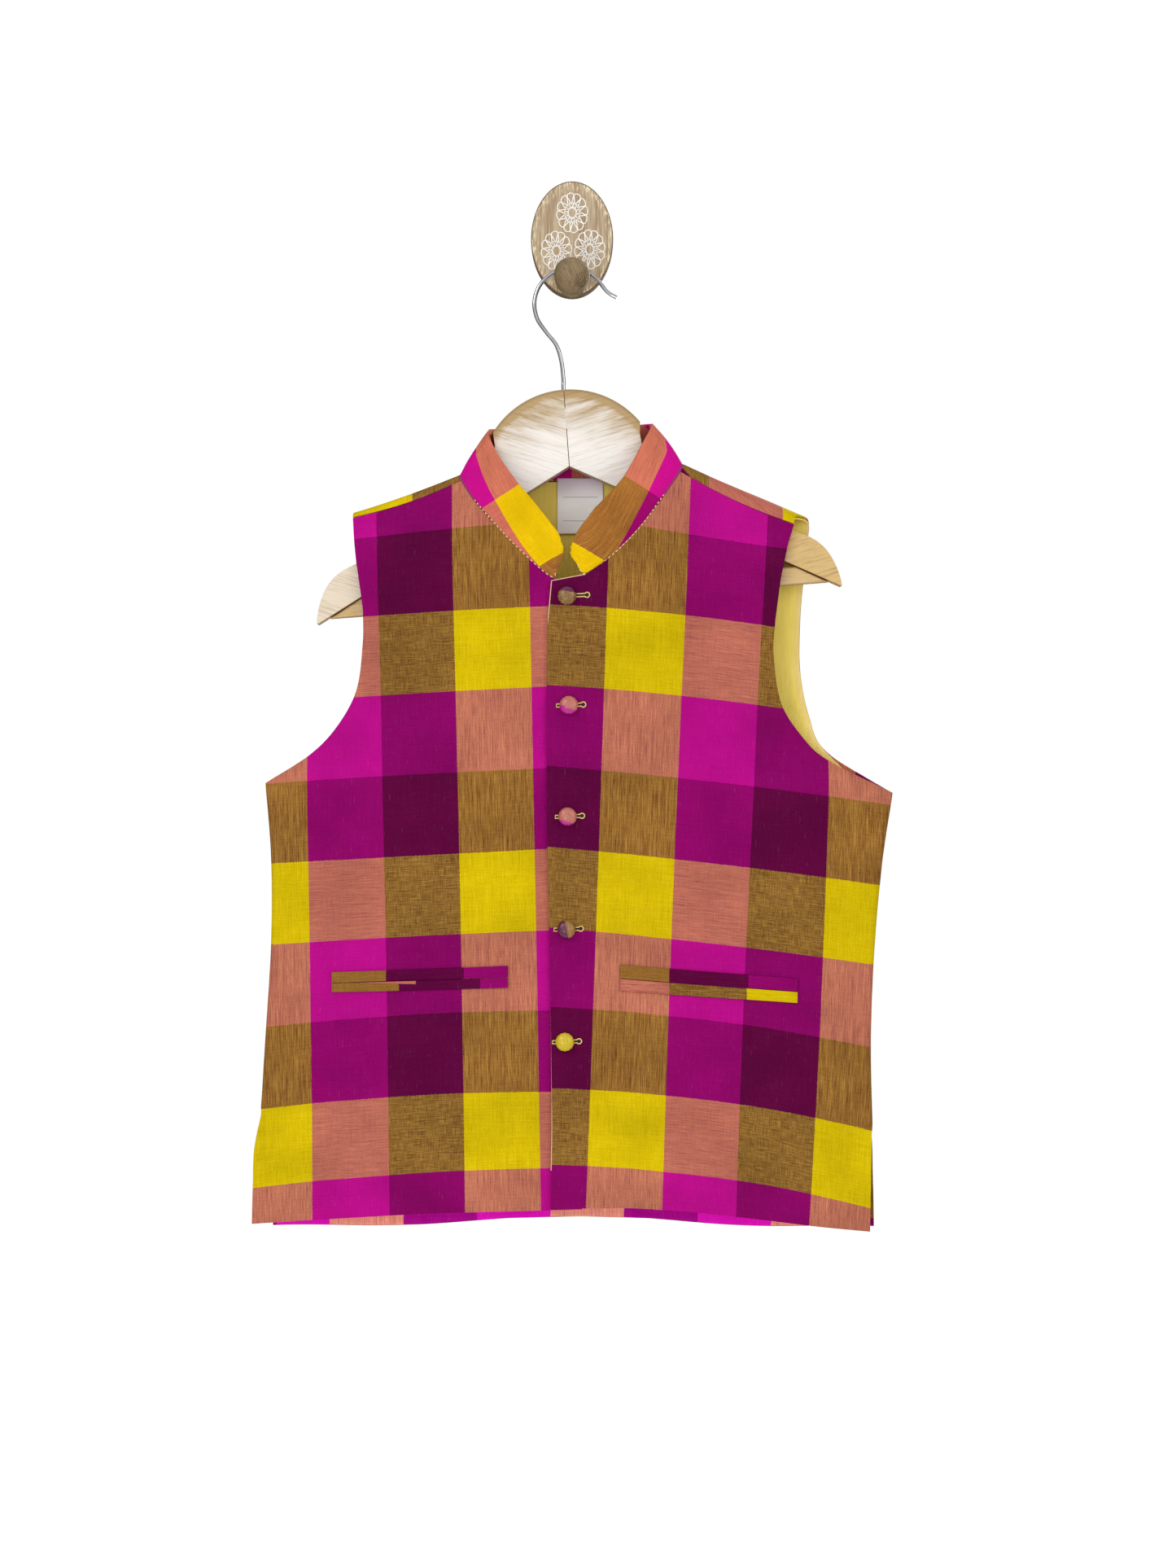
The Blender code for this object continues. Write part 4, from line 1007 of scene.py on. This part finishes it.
def makeWelt(name, side, ends, top, bottom):
    leftX, leftZ, rightX, rightZ, leftHigh, rightHigh = ends
    one, two, number, way, row = pockets["bands"][name]

    def point(i, j):
        share = mix(bottom, top, j / 8)
        crown = 0.35 * math.sin(math.pi * j / 8) - 0.25
        x = mix(leftX, rightX, i / 60)
        z = mix(leftZ, rightZ, i / 60) - share * mix(leftHigh, rightHigh, i / 60)
        end = min(1.0, i / 2.0, (60 - i) / 2.0)
        spot = frontSurface(side, x, z, pockets["outside"] + crown * end)[0]
        return spot, (number + way * (x - one) / (two - one), row + share * 0.2)

    title = "welt" + "".join(part.capitalize() for part in name.split("_")[1:])
    piece = newPiece(title, sampledMesh(title, 60, 8, point), [weltFinish], [name])
    thicken(piece, pockets["thickness"], 0.3)


sliver = {"left": -123.0, "right": -89.5, "leftHigh": 0.2, "rightHigh": 1.9, "topZ": -431.256, "slope": 0.04}


def makeSliver():  # a strip of the pocket's facing that shows in the slit
    def point(i, j):
        x = mix(sliver["left"], sliver["right"], i / 24)
        high = mix(sliver["leftHigh"], sliver["rightHigh"], i / 24)
        z = sliver["topZ"] + x * sliver["slope"] - high * (1.0 - j / 2)
        return frontSurface("left", x, z, pockets["outside"] + 0.5)[0], (1.5, 2.5 + j / 60.0)

    mesh = sampledMesh("pocketSliver", 24, 2, point)
    thicken(newPiece("pocketSliver", mesh, [weltFinish]), 0.5, 0.0)


buttons = {
    "places": ((-2.5, -214.0), (-1.5, -276.4), (-2.2, -340.0), (-2.9, -404.7), (-3.9, -469.4)),
    # radius and height of the covered dome
    "profile": (
        (0.0, 4.75), (0.9, 4.7), (1.8, 4.55), (2.7, 4.3), (3.5, 3.95), (4.2, 3.5), (4.75, 3.0), (5.1, 2.5),
        (5.3, 2.0), (5.35, 1.6), (5.25, 1.1), (4.95, 0.6), (4.5, 0.25), (3.9, 0.05), (2.0, 0.0), (0.0, 0.0),
    ),
    # cloth place at each button's centre, and the turn of its threads in degrees
    "cloth": ((2.5, 2.06, 8.0), (1.5, 2.96, 22.0), (1.45, 2.93, 15.0), (3.0, 1.5, -12.0), (0.5, 2.5, 5.0)),
    "pucker": 0.02,
}


def makeButton(number, x, z):
    spot, normal = frontSurface("right", x, z, fronts["thickness"] / 2 + shape["gap"])

    def pucker(reach, angle, height):  # where the cloth is drawn round the rim
        share = buttons["pucker"] * smooth((reach - 3.6) / 1.4) * smooth(height)
        return share * math.sin(14 * angle + number)

    work = turnedShape(buttons["profile"], 48, pucker)
    turn = Vector((0.0, 0.0, 1.0)).rotation_difference(normal).to_matrix().to_4x4()
    bmesh.ops.transform(work, matrix=Matrix.Translation(spot * mm) @ turn, verts=work.verts)
    layer = work.loops.layers.uv.new("UVMap")
    u, v, degrees = buttons["cloth"][number - 1]
    cos, sin = math.cos(math.radians(degrees)), math.sin(math.radians(degrees))
    for loop in (loop for face in work.faces for loop in face.loops):
        dx, dz = loop.vert.co.x / mm - spot.x, loop.vert.co.z / mm - spot.z
        loop[layer].uv = (u + (dx * cos - dz * sin) / 40.0, v - (dz * cos + dx * sin) / 40.0)
    name = "button" + str(number)
    newPiece(name, meshFrom(name, work), [buttonFinish], ["button_" + str(number)])


holes = {"left": -9.6, "right": 9.4, "half": 0.85, "keyhole": 1.45, "thread": 0.42, "tilt": 0.04}


def holePath(x, z, number):  # keyhole end, then the straight sides and the bar end
    left = x + holes["left"] + 2.5 if number > 1 else x - 4.0
    right = x + holes["right"] + (3.2 if number == 1 else 0.0)
    angles = [math.radians(mix(-135.0, 135.0, k / 14)) for k in range(15)]
    reach, half = holes["keyhole"], holes["half"]
    spots = [(right - 1.2 + reach * math.cos(a), reach * math.sin(a)) for a in angles]
    spots += [(mix(right - 2.3, left, k / 21), half) for k in range(1, 22)]
    spots += [(mix(left, right - 2.3, k / 21), -half) for k in range(22)]
    return [(px, z + pz + holes["tilt"] * (px - x)) for px, pz in spots]


def makeHoles():
    outlines = [holePath(x, z, number) for number, (x, z) in enumerate(buttons["places"], start=1)]
    lift = fronts["thickness"] / 2 + 0.12
    paths, slits = [
        [[frontSurface("right", px, pz, distance)[0] for px, pz in outline] for outline in outlines]
        for distance in (lift, lift - 0.05)
    ]
    mesh = tubeMesh("holeStitches", paths, holes["thread"], 2, True, (1.0, 0.72))
    newPiece("holeStitches", mesh, [holeFinish])
    work = bmesh.new()
    for outline in slits:
        work.faces.new([work.verts.new(spot * mm) for spot in outline])
    bmesh.ops.triangulate(work, faces=work.faces)
    finish = newMaterial("slitShade").shade((0.03, 0.002, 0.015), 0.9)
    newPiece("holeSlits", meshFrom("holeSlits", work), [finish])


neckLabel = makeLabel()
for node, side, *ends in pockets["places"]:
    makeWelt(node + "_upper", side, ends, 0.0, 0.52)
    makeWelt(node + "_lower", side, ends, 0.55, 1.0)
makeSliver()
for number, (x, z) in enumerate(buttons["places"], start=1):
    makeButton(number, x, z)
makeHoles()
print("label, pockets and buttons made")


trim = {"piping": 0.32, "cord": 0.95, "stitch": 0.34, "stitchLength": 1.4, "stitchPitch": 3.0}


def alongPath(path, pitch, length):  # short straight stitches along a path
    dashes, walked, nextStart = [], 0.0, 0.5
    for a, b in zip(path, path[1:]):
        run = (b - a).length
        while nextStart < walked + run:
            start = a.lerp(b, (nextStart - walked) / run)
            direction = (b - a) / run
            dashes.append([start, start + direction * length * 0.5, start + direction * length])
            nextStart += pitch
        walked += run
    return dashes


def makeTrim():
    corner, end = frontLevels.row("neck corner"), frontLevels.row("collar end")
    places = [mix(frontLevels.row("arm mid") + 0.9, corner, k / 40) for k in range(41)]
    places += [mix(corner, end, k / 12) for k in range(1, 13)]
    edge = [frontPoint("right", place, 1.0) + Vector((0.0, -0.55, 0.0)) for place in places]
    for spot, place in zip(edge, places):
        spot.x -= 0.1 * (place <= corner)
        spot.z += 0.15 * (place >= corner - 0.05)
    fade = [smooth((k + 1) / 14) for k in range(len(edge))]
    low = [frontPoint("right", mix(1.0, 4.1, k / 60), 1.0) + Vector((-0.15, -0.5, 0.0)) for k in range(61)]
    lowFade = [smooth((60 - k) / 50) + 0.02 for k in range(61)]
    meshes = [tubeMesh("neckPiping", [edge], trim["piping"], 2, False, fade)]
    meshes.append(tubeMesh("lowPiping", [low], trim["piping"], 2, False, lowFade))
    newPiece("frontPiping", joinMeshes("frontPiping", meshes), [pipingFinish])
    steps = collar["steps"]
    cord = [low - (high - low).normalized() * 0.6 for low, high in collarEdges()[6 * steps:-6 * steps]]
    mesh = tubeMesh("neckSeamCord", [cord], trim["cord"], 3)
    newPiece("neckSeamCord", mesh, [seamFinish])
    rows, _ = collarLayers(collar["thickness"] / 2 + 0.05, [0.0])
    seam = [spot - Vector((0.0, 0.0, 0.7)) for spot in rows[0]]
    inner = [spot + Vector((0.0, -1.6, 0.4)) for spot in seam[11 * steps:-11 * steps]]
    sides = [seam[2 * steps:8 * steps], seam[-8 * steps:-2 * steps], inner]
    dashes = [dash for side in sides for dash in alongPath(side, trim["stitchPitch"], trim["stitchLength"])]
    mesh = tubeMesh("collarStitches", dashes, trim["stitch"], 1, False, (0.7, 1.0, 0.7))
    newPiece("collarStitches", mesh, [stitchFinish])


makeTrim()
print("trim made")


hanger = {
    "centre": (-0.9, -144.2),
    "tilt": 4.2,
    "backY": -11.0,
    "thick": 12.0,
    "dome": 53.3,
    "notchZ": 8.35,
    "armSlope": 0.5292,
    "armTopZ": 28.72,
    "shoulderRise": 5.2,
    "armStations": (126.0, 120.0, 115.0, 110.0, 105.0, 100.0, 86.0, 72.0),
    "tipX": 153.9,
    "domeEnd": 36.0,
    "flank": ((65.0, 0.2), (58.0, 0.6), (51.5, 2.5), (46.4, 7.6), (43.7, 15.0), (42.6, 24.0)),
    "horn": ((129.3, -39.6), (138.4, -43.8), (145.8, -50.5), (150.6, -59.3), (153.2, -67.8), (153.9, -72.9)),
    "bevel": 1.3,
    "barX": 147.0,
    "barHeight": 10.5,
    "barDepth": 8.5,
    "barY": -17.0,
}

def makeGrainGroup():  # wood on Object coordinates: thin fibres along the vector's z, and soft figure
    outputs = (("Fibres", "Float"), ("Figure", "Float"), ("Height", "Float"))
    n, given, out = newGroup("woodGrain", (("Place", "Vector", None),), outputs)
    fibres = n.noise(given["Place"], (1500.0, 1500.0, 75.0), 3.0, 0.6)
    broad = n.noise(given["Place"], (500.0, 500.0, 25.0))
    figure = n.noise(given["Place"], (130.0, 130.0, 38.0), 3.0, 0.55)
    thin = n.ramp(n.timesAdd(broad, 0.5, fibres), 0.55, 0.95)
    n.fill(out, {"Fibres": thin, "Figure": n.ramp(figure, 0.3, 0.7), "Height": n.add(fibres, broad)})
    return n.tree


grainGroup = makeGrainGroup()


def grainOf(n, place, turn):  # fibres, figure and height of the wood, with its grain turned
    turned = n.stretched(place, (1.0, 1.0, 1.0), turn)
    return n.put("Group", {"Place": turned}, node_tree=grainGroup)[0:3]


def whitewash(name, degrees, wear):  # white paint over brown wood: the turn lays the grain along the arm
    n = newMaterial(name)
    place = n.spot()
    fibres, figure, height = grainOf(n, place, math.radians(degrees))
    x, _, z = n.split(place)[0:3]
    # the paint is rubbed thin along the dome's rim and out at the horns
    centreX, centreZ = hanger["centre"]
    dx, dz = n.less(x, centreX * mm), n.less(z, centreZ * mm)
    far = n.length(dx, dz)
    wide = n.times(n.ramp(far, 0.018, 0.048), n.ramp(z, -0.14, -0.108))
    arms = n.less(1.0, n.ramp(far, 0.056, 0.062))
    horns = n.ramp(n.size(dx), 0.09, 0.13, 0.0, wear)
    tan = n.timesAdd(figure, 0.5, n.timesAdd(fibres, 0.25, 0.2))
    tan = n.times(n.timesAdd(wide, 1.3, 0.13), tan)
    tan = n.times(n.timesAdd(n.ramp(far, 0.0475, 0.0525), 0.75, tan), arms)
    tan = n.add(tan, n.times(horns, n.timesAdd(figure, 0.3, 0.75)), clamp=True)
    streak = n.times(n.ramp(fibres, 0.5, 1.0), n.timesAdd(tan, 0.4, 0.2))
    # a thin dark line round the dome's edge: painted shade of the rounded edge
    rimShadeLine = n.times(n.ramp(far, 0.0512, 0.0526), arms)
    # painted shade: the side faces round the edges and the undersides are painted browner than the front and
    # back faces
    facing = n.split(n.put("NewGeometry")["Normal"])[1]
    colour = n.layers(
        (0.97, 0.95, 0.91),
        (tan, (0.47, 0.32, 0.15)),
        (n.times(horns, 0.7, clamp=True), (0.70, 0.48, 0.19)),
        (streak, (0.34, 0.20, 0.09)),
        (n.times(rimShadeLine, 0.7), (0.30, 0.20, 0.09)),
        (n.ramp(n.size(facing), 0.35, 0.85, 0.7, 0.0), (0.46, 0.29, 0.11)),
    )
    return n.shade(colour, 0.6, (height, 0.35, 0.0003), {"Specular IOR Level": 0.3})


def plateWood():  # brown board, washed pale, with worn cream strokes and a dark line at its rim
    n = newMaterial("plateWood")
    place = n.spot()
    fibres, figure, height = grainOf(n, place, 0.0)
    x, _, z = n.split(place)[0:3]
    x, z = [n.calc("DIVIDE", a, plate[b] * mm / 2) for a, b in ((x, "width"), (z, "height"))]
    far = n.length(x, z)
    strokes = n.ramp(n.noise(place, (900.0, 900.0, 220.0)), 0.5, 0.62)
    colour = n.layers(
        (0.37, 0.26, 0.14),
        (figure, (0.27, 0.165, 0.085)),
        (n.times(fibres, 0.75), (0.66, 0.54, 0.38)),
        (n.times(strokes, n.ramp(far, 0.80, 0.97)), (0.88, 0.75, 0.50)),
        (n.ramp(far, 0.965, 0.985), (0.16, 0.10, 0.05)),
    )
    return n.shade(colour, 0.65, (height, 0.5, 0.0003), {"Specular IOR Level": 0.3})


def knobWood():  # dark turned wood with a small knot low on its face
    n = newMaterial("knobWood")
    place = n.spot()
    fibres, figure, height = grainOf(n, place, 0.5)
    x, _, z = n.split(place)[0:3]
    knotX, knotZ = knob["knot"]
    far = n.length(n.less(x, knotX * mm), n.times(n.less(z, knotZ * mm), 0.75))
    far = n.add(far, n.times(n.noise(place, 250.0), 0.002))
    rings = n.sine(n.times(far, 2 * math.pi / (knob["ring"] * mm)))
    rings = n.times(n.ramp(rings, -0.2, 1.0), n.ramp(far, 0.0034, 0.0052, 0.8, 0.0))
    colour = n.layers(
        (0.24, 0.16, 0.07),
        (figure, (0.12, 0.07, 0.03)),
        (n.times(fibres, 0.5), (0.42, 0.31, 0.17)),
        (rings, (0.07, 0.04, 0.02)),
    )
    return n.shade(colour, 0.5, (n.timesAdd(rings, -0.6, height), 0.6, 0.0005), {"Specular IOR Level": 0.35})


def hangerMatrix():
    place = Vector((hanger["centre"][0], 0.0, hanger["centre"][1])) * mm
    return Matrix.Translation(place) @ Matrix.Rotation(-math.radians(hanger["tilt"]), 4, "Y")


def hangerOutline():
    slope, tip = hanger["armSlope"], hanger["tipX"] - 0.4
    points = [(shape["gap"] / 2, hanger["notchZ"]), (tip, hanger["notchZ"] - slope * tip)]
    points += curveSpots(hanger["horn"], (), 6)[::-1]
    for out in hanger["armStations"]:
        rise = hanger["shoulderRise"] * smooth((130.0 - out) / 26.0)
        points.append((out, hanger["armTopZ"] + rise - slope * out))
    points += hanger["flank"]
    stop = math.pi / 2 - math.asin(shape["gap"] / 2 / hanger["dome"])
    angles = [mix(math.radians(hanger["domeEnd"]), stop, k / 30) for k in range(31)]
    return points + [(hanger["dome"] * math.cos(a), hanger["dome"] * math.sin(a)) for a in angles]


def flatFaces(piece, area):  # large flat faces shade flat, the small ones round the edges stay smooth
    for face in piece.data.polygons:
        face.use_smooth = face.area < area * mm * mm


def hangerPiece(name, work, finish, node, area):
    bmesh.ops.transform(work, matrix=hangerMatrix(), verts=work.verts)
    flatFaces(newPiece(name, meshFrom(name, work), [finish], [node]), area)


def hangerHalf(name, side, node, finish):
    work = bmesh.new()
    front = (hanger["backY"] - hanger["thick"]) * mm
    outline = [work.verts.new((side * x * mm, front, z * mm)) for x, z in hangerOutline()]
    grown = bmesh.ops.extrude_face_region(work, geom=[work.faces.new(outline)])
    moved = [item for item in grown["geom"] if isinstance(item, bmesh.types.BMVert)]
    bmesh.ops.translate(work, vec=(0.0, hanger["thick"] * mm, 0.0), verts=moved)
    bmesh.ops.recalc_face_normals(work, faces=work.faces)
    roundEdges(work, sharpEdges(work), hanger["bevel"], 5, True)
    hangerPiece(name, work, finish, node, 60.0)


def makeHangerBar(finish):
    low = hanger["notchZ"] - hanger["armSlope"] * hanger["barX"] - 0.5
    high = low + hanger["barHeight"]
    slack = shape["gap"] / math.sin(math.atan(hanger["armSlope"]))
    work = bmesh.new()
    bmesh.ops.create_cube(work, size=1.0)
    for vert in work.verts:
        upper = vert.co.z > 0
        reach = (hanger["notchZ"] - high) / hanger["armSlope"] if upper else hanger["barX"]
        x = math.copysign(reach - slack, vert.co.x)
        y = hanger["barY"] + math.copysign(hanger["barDepth"] / 2, vert.co.y)
        vert.co = Vector((x, y, high if upper else low)) * mm
    roundEdges(work, work.edges[:], 1.2, 4)
    hangerPiece("trouserBar", work, finish, "hanger_bar", 300.0)


hook = {
    "y": -17.0,
    "radius": 1.2,
    "sink": 10.0,
    "route": (
        (26.3, -36.2), (22.3, -34.0), (19.2, -31.0), (15.1, -26.0), (8.6, -21.2), (-0.5, -19.0),
        (-10.6, -21.7), (-18.6, -28.6), (-22.0, -38.6), (-20.4, -48.4), (-14.9, -56.6), (-9.3, -63.8),
        (-6.3, -73.0), (-5.0, -84.0),
    ),
}


def makeHook():
    heights = [hanger["dome"] + 3.0, hanger["dome"] - hook["sink"]]
    spots = [hangerMatrix() @ Vector((0.0, 0.0, height * mm)) / mm for height in heights]
    route = [*hook["route"], *[(spot.x, spot.z) for spot in spots]]
    path = [Vector((x, hook["y"], z)) for x, z in curveSpots(route, (len(route) - 2,), 10)]
    n = newMaterial("brightWire")
    wear = n.noise(n.spot(), (400.0, 400.0, 120.0), 3.0)
    metal = {"Metallic": 1.0, "Specular Tint": (0.3, 0.3, 0.32)}
    colour = n.blend(wear, (0.66, 0.66, 0.68), (0.36, 0.36, 0.39))
    finish = n.shade(colour, n.ramp(wear, 0.3, 0.7, 0.06, 0.16), None, metal)
    mesh = tubeMesh("wireHook", [path], hook["radius"], 6)
    newPiece("wireHook", mesh, [finish], ["hanger_hook"])


knob = {
    "z": -26.5,
    "knot": (5.2, -30.5),
    "ring": 1.1,
    "plateY": -9.0,
    # radius and distance from the plate's face, along the turned neck and head
    "profile": (
        (0.0, 0.3), (8.2, 0.3), (8.3, 1.0), (8.0, 1.8), (6.8, 2.9), (6.1, 4.5), (5.95, 7.0), (6.0, 10.0),
        (6.4, 12.2), (7.4, 13.9), (8.9, 15.0), (9.9, 16.6), (10.3, 19.0), (10.4, 22.5), (10.3, 26.0),
        (9.9, 29.4), (8.9, 32.2), (7.3, 34.3), (5.2, 35.8), (2.7, 36.7), (0.0, 37.0),
    ),
}
plate = {"width": 48.5, "height": 68.2, "thick": 9.0, "bevel": 1.6}


def makeKnob():
    def swell(reach, angle, height):  # turned by hand, so not quite round
        return 0.018 * math.sin(3 * angle + 0.7) * smooth((reach - 7.0) / 3.0)

    work = turnedShape(knob["profile"], 64, swell)
    place = Matrix.Translation(Vector((0.0, knob["plateY"], knob["z"])) * mm)
    place = place @ Matrix.Rotation(math.pi / 2, 4, "X")
    bmesh.ops.transform(work, matrix=place, verts=work.verts)
    newPiece("wallKnob", meshFrom("wallKnob", work), [knobWood()], ["wall_knob"])


def makePlate():
    work = bmesh.new()
    bmesh.ops.create_cone(work, cap_ends=True, segments=128, radius1=0.5, radius2=0.5, depth=1.0)
    bmesh.ops.rotate(work, verts=work.verts, matrix=Matrix.Rotation(math.pi / 2, 3, "X"))
    size = Vector((plate["width"], plate["thick"], plate["height"])) * mm
    bmesh.ops.scale(work, vec=size, verts=work.verts)
    bmesh.ops.translate(work, vec=(0.0, -plate["thick"] / 2 * mm, 0.0), verts=work.verts)
    front = [edge for edge in sharpEdges(work) if edge.verts[0].co.y < -plate["thick"] / 2 * mm]
    roundEdges(work, front, plate["bevel"], 5)
    bmesh.ops.recalc_face_normals(work, faces=work.faces)
    mesh = meshFrom("wallPlate", work)
    flatFaces(newPiece("wallPlate", mesh, [plateWood()], ["wall_plate"]), 60.0)


rosettes = {
    "places": ((0.1, 15.2, 9.3, 11.9), (-9.2, -7.2, 9.1, 11.7), (10.4, -6.4, 9.1, 11.7)),  # x, z, half sizes
    "petals": 12,
    # petal's outline: share of the rosette's size, and of half a petal's angle
    "petal": ((0.40, 0.0), (0.52, 0.34), (0.66, 0.66), (0.80, 0.93), (0.89, 0.94), (0.96, 0.7), (1.0, 0.0)),
    "line": 0.38,
}


def makeRosettes():  # lace-like rosettes in raised white paint
    paths, rings = [], []
    count = rosettes["petals"]
    half = math.pi / count
    y = -plate["thick"] - 0.05
    for x, z, halfX, halfZ in rosettes["places"]:

        def spot(radius, angle):
            return Vector((x + halfX * radius * math.cos(angle), y, z + halfZ * radius * math.sin(angle)))

        for k in range(count):  # a teardrop petal, and the star's short strokes between two petals
            middle = 2 * math.pi * k / count + 0.13
            side = [(r, share * half) for r, share in rosettes["petal"]]
            petal = [(r, -s) for r, s in side] + side[-2:0:-1]
            rings.append([spot(r, middle + s) for r, s in petal])
            for turn in (half, -half):
                paths.append([spot(0.25, middle), spot(0.36, middle + turn), spot(0.52, middle + 1.1 * turn)])
        paths.append([spot(0.24, 2 * math.pi * k / 24) for k in range(25)])
    line = rosettes["line"]
    mesh = joinMeshes(
        "plateRosettes", [tubeMesh("rings", rings, line, 1, True), tubeMesh("lines", paths, line * 0.7, 1)]
    )
    n = newMaterial("whitePaint")
    wear = n.ramp(n.noise(n.spot(), 500.0, 3.0), 0.45, 0.75)
    finish = n.shade(n.blend(wear, (0.95, 0.93, 0.90), (0.84, 0.76, 0.66)), 0.6)
    newPiece("plateRosettes", mesh, [finish], ())


leftWood = whitewash("whitewashLeft", 73.0, 0.4)
rightWood = whitewash("whitewashRight", -73.0, 1.15)
barWood = whitewash("whitewashBar", 94.0, 1.0)
hangerHalf("hangerLeft", -1.0, "hanger_left_half", leftWood)
hangerHalf("hangerRight", 1.0, "hanger_right_half", rightWood)
makeHangerBar(barWood)
makeHook()
makeKnob()
makePlate()
makeRosettes()
print("hanger, hook, knob and plate made")


studio = {
    "floorZ": -1.6,
    "floorRadius": 2.4,
    "front": 0.82,  # strength of the world in front of the jacket, and behind it
    "behind": 0.05,
    # name, place, size, power
    "lights": (
        ("keyLight", (-1.4, -1.5, 0.8), 1.0, 12.0),
        ("fillLight", (1.5, -1.2, 0.2), 1.2, 8.0),
        ("glintLight", (-0.55, -1.5, -0.85), 0.3, 3.0),
        ("backLight", (0.5, 1.8, 0.7), 1.6, 34.0),
    ),
    "aim": (0.0, 0.0, -0.33),
    "camera": (0.0094, -1.560, -0.3215),
    "lens": 60.4,
}


def newObject(name, data):
    thing = bpy.data.objects.new(name, data)
    scene.collection.objects.link(thing)
    return thing


def makeFloor():
    work = bmesh.new()
    bmesh.ops.create_circle(work, cap_ends=True, segments=96, radius=studio["floorRadius"])
    bmesh.ops.translate(work, vec=(0.0, 0.0, studio["floorZ"]), verts=work.verts)
    floor = newObject("paleFloor", meshFrom("paleFloor", work))
    floor.data.materials.append(newMaterial("paleFloor").shade((0.93, 0.93, 0.92), 0.9))


def makeWorld():  # bright to the camera and in front of the jacket, dim behind it
    scene.world = bpy.data.worlds.new("studio")
    scene.world.use_nodes = True
    n = Nodes(scene.world.node_tree)
    _, y, z = n.split(n.put("TexCoord")["Generated"])[0:3]
    around = n.ramp(y, -0.62, 0.05, studio["front"], studio["behind"])
    above = n.ramp(z, 0.35, 0.95, 0.0, studio["front"])
    strength = n.most(n.most(around, above), n.put("LightPath")["Is Camera Ray"])
    n.fill(n.tree.nodes["Background"], {"Color": (1.0, 1.0, 1.0), "Strength": strength})


def areaLight(name, spot, size, power):
    data = bpy.data.lights.new(name, "AREA")
    data.size, data.energy = size, power
    light = newObject(name, data)
    light.location = spot
    light.rotation_mode = "QUATERNION"
    light.rotation_quaternion = (Vector(studio["aim"]) - Vector(spot)).to_track_quat("-Z", "Y")
    light.visible_camera = False


def makeCamera():
    data = bpy.data.cameras.new("camera")
    data.lens, data.sensor_width = studio["lens"], 36.0
    scene.camera = newObject("camera", data)
    scene.camera.location = studio["camera"]
    scene.camera.rotation_euler = (math.pi / 2, 0.0, 0.0)


makeFloor()
makeWorld()
for light in studio["lights"]:
    areaLight(*light)
makeCamera()
print("floor, lights and camera made")
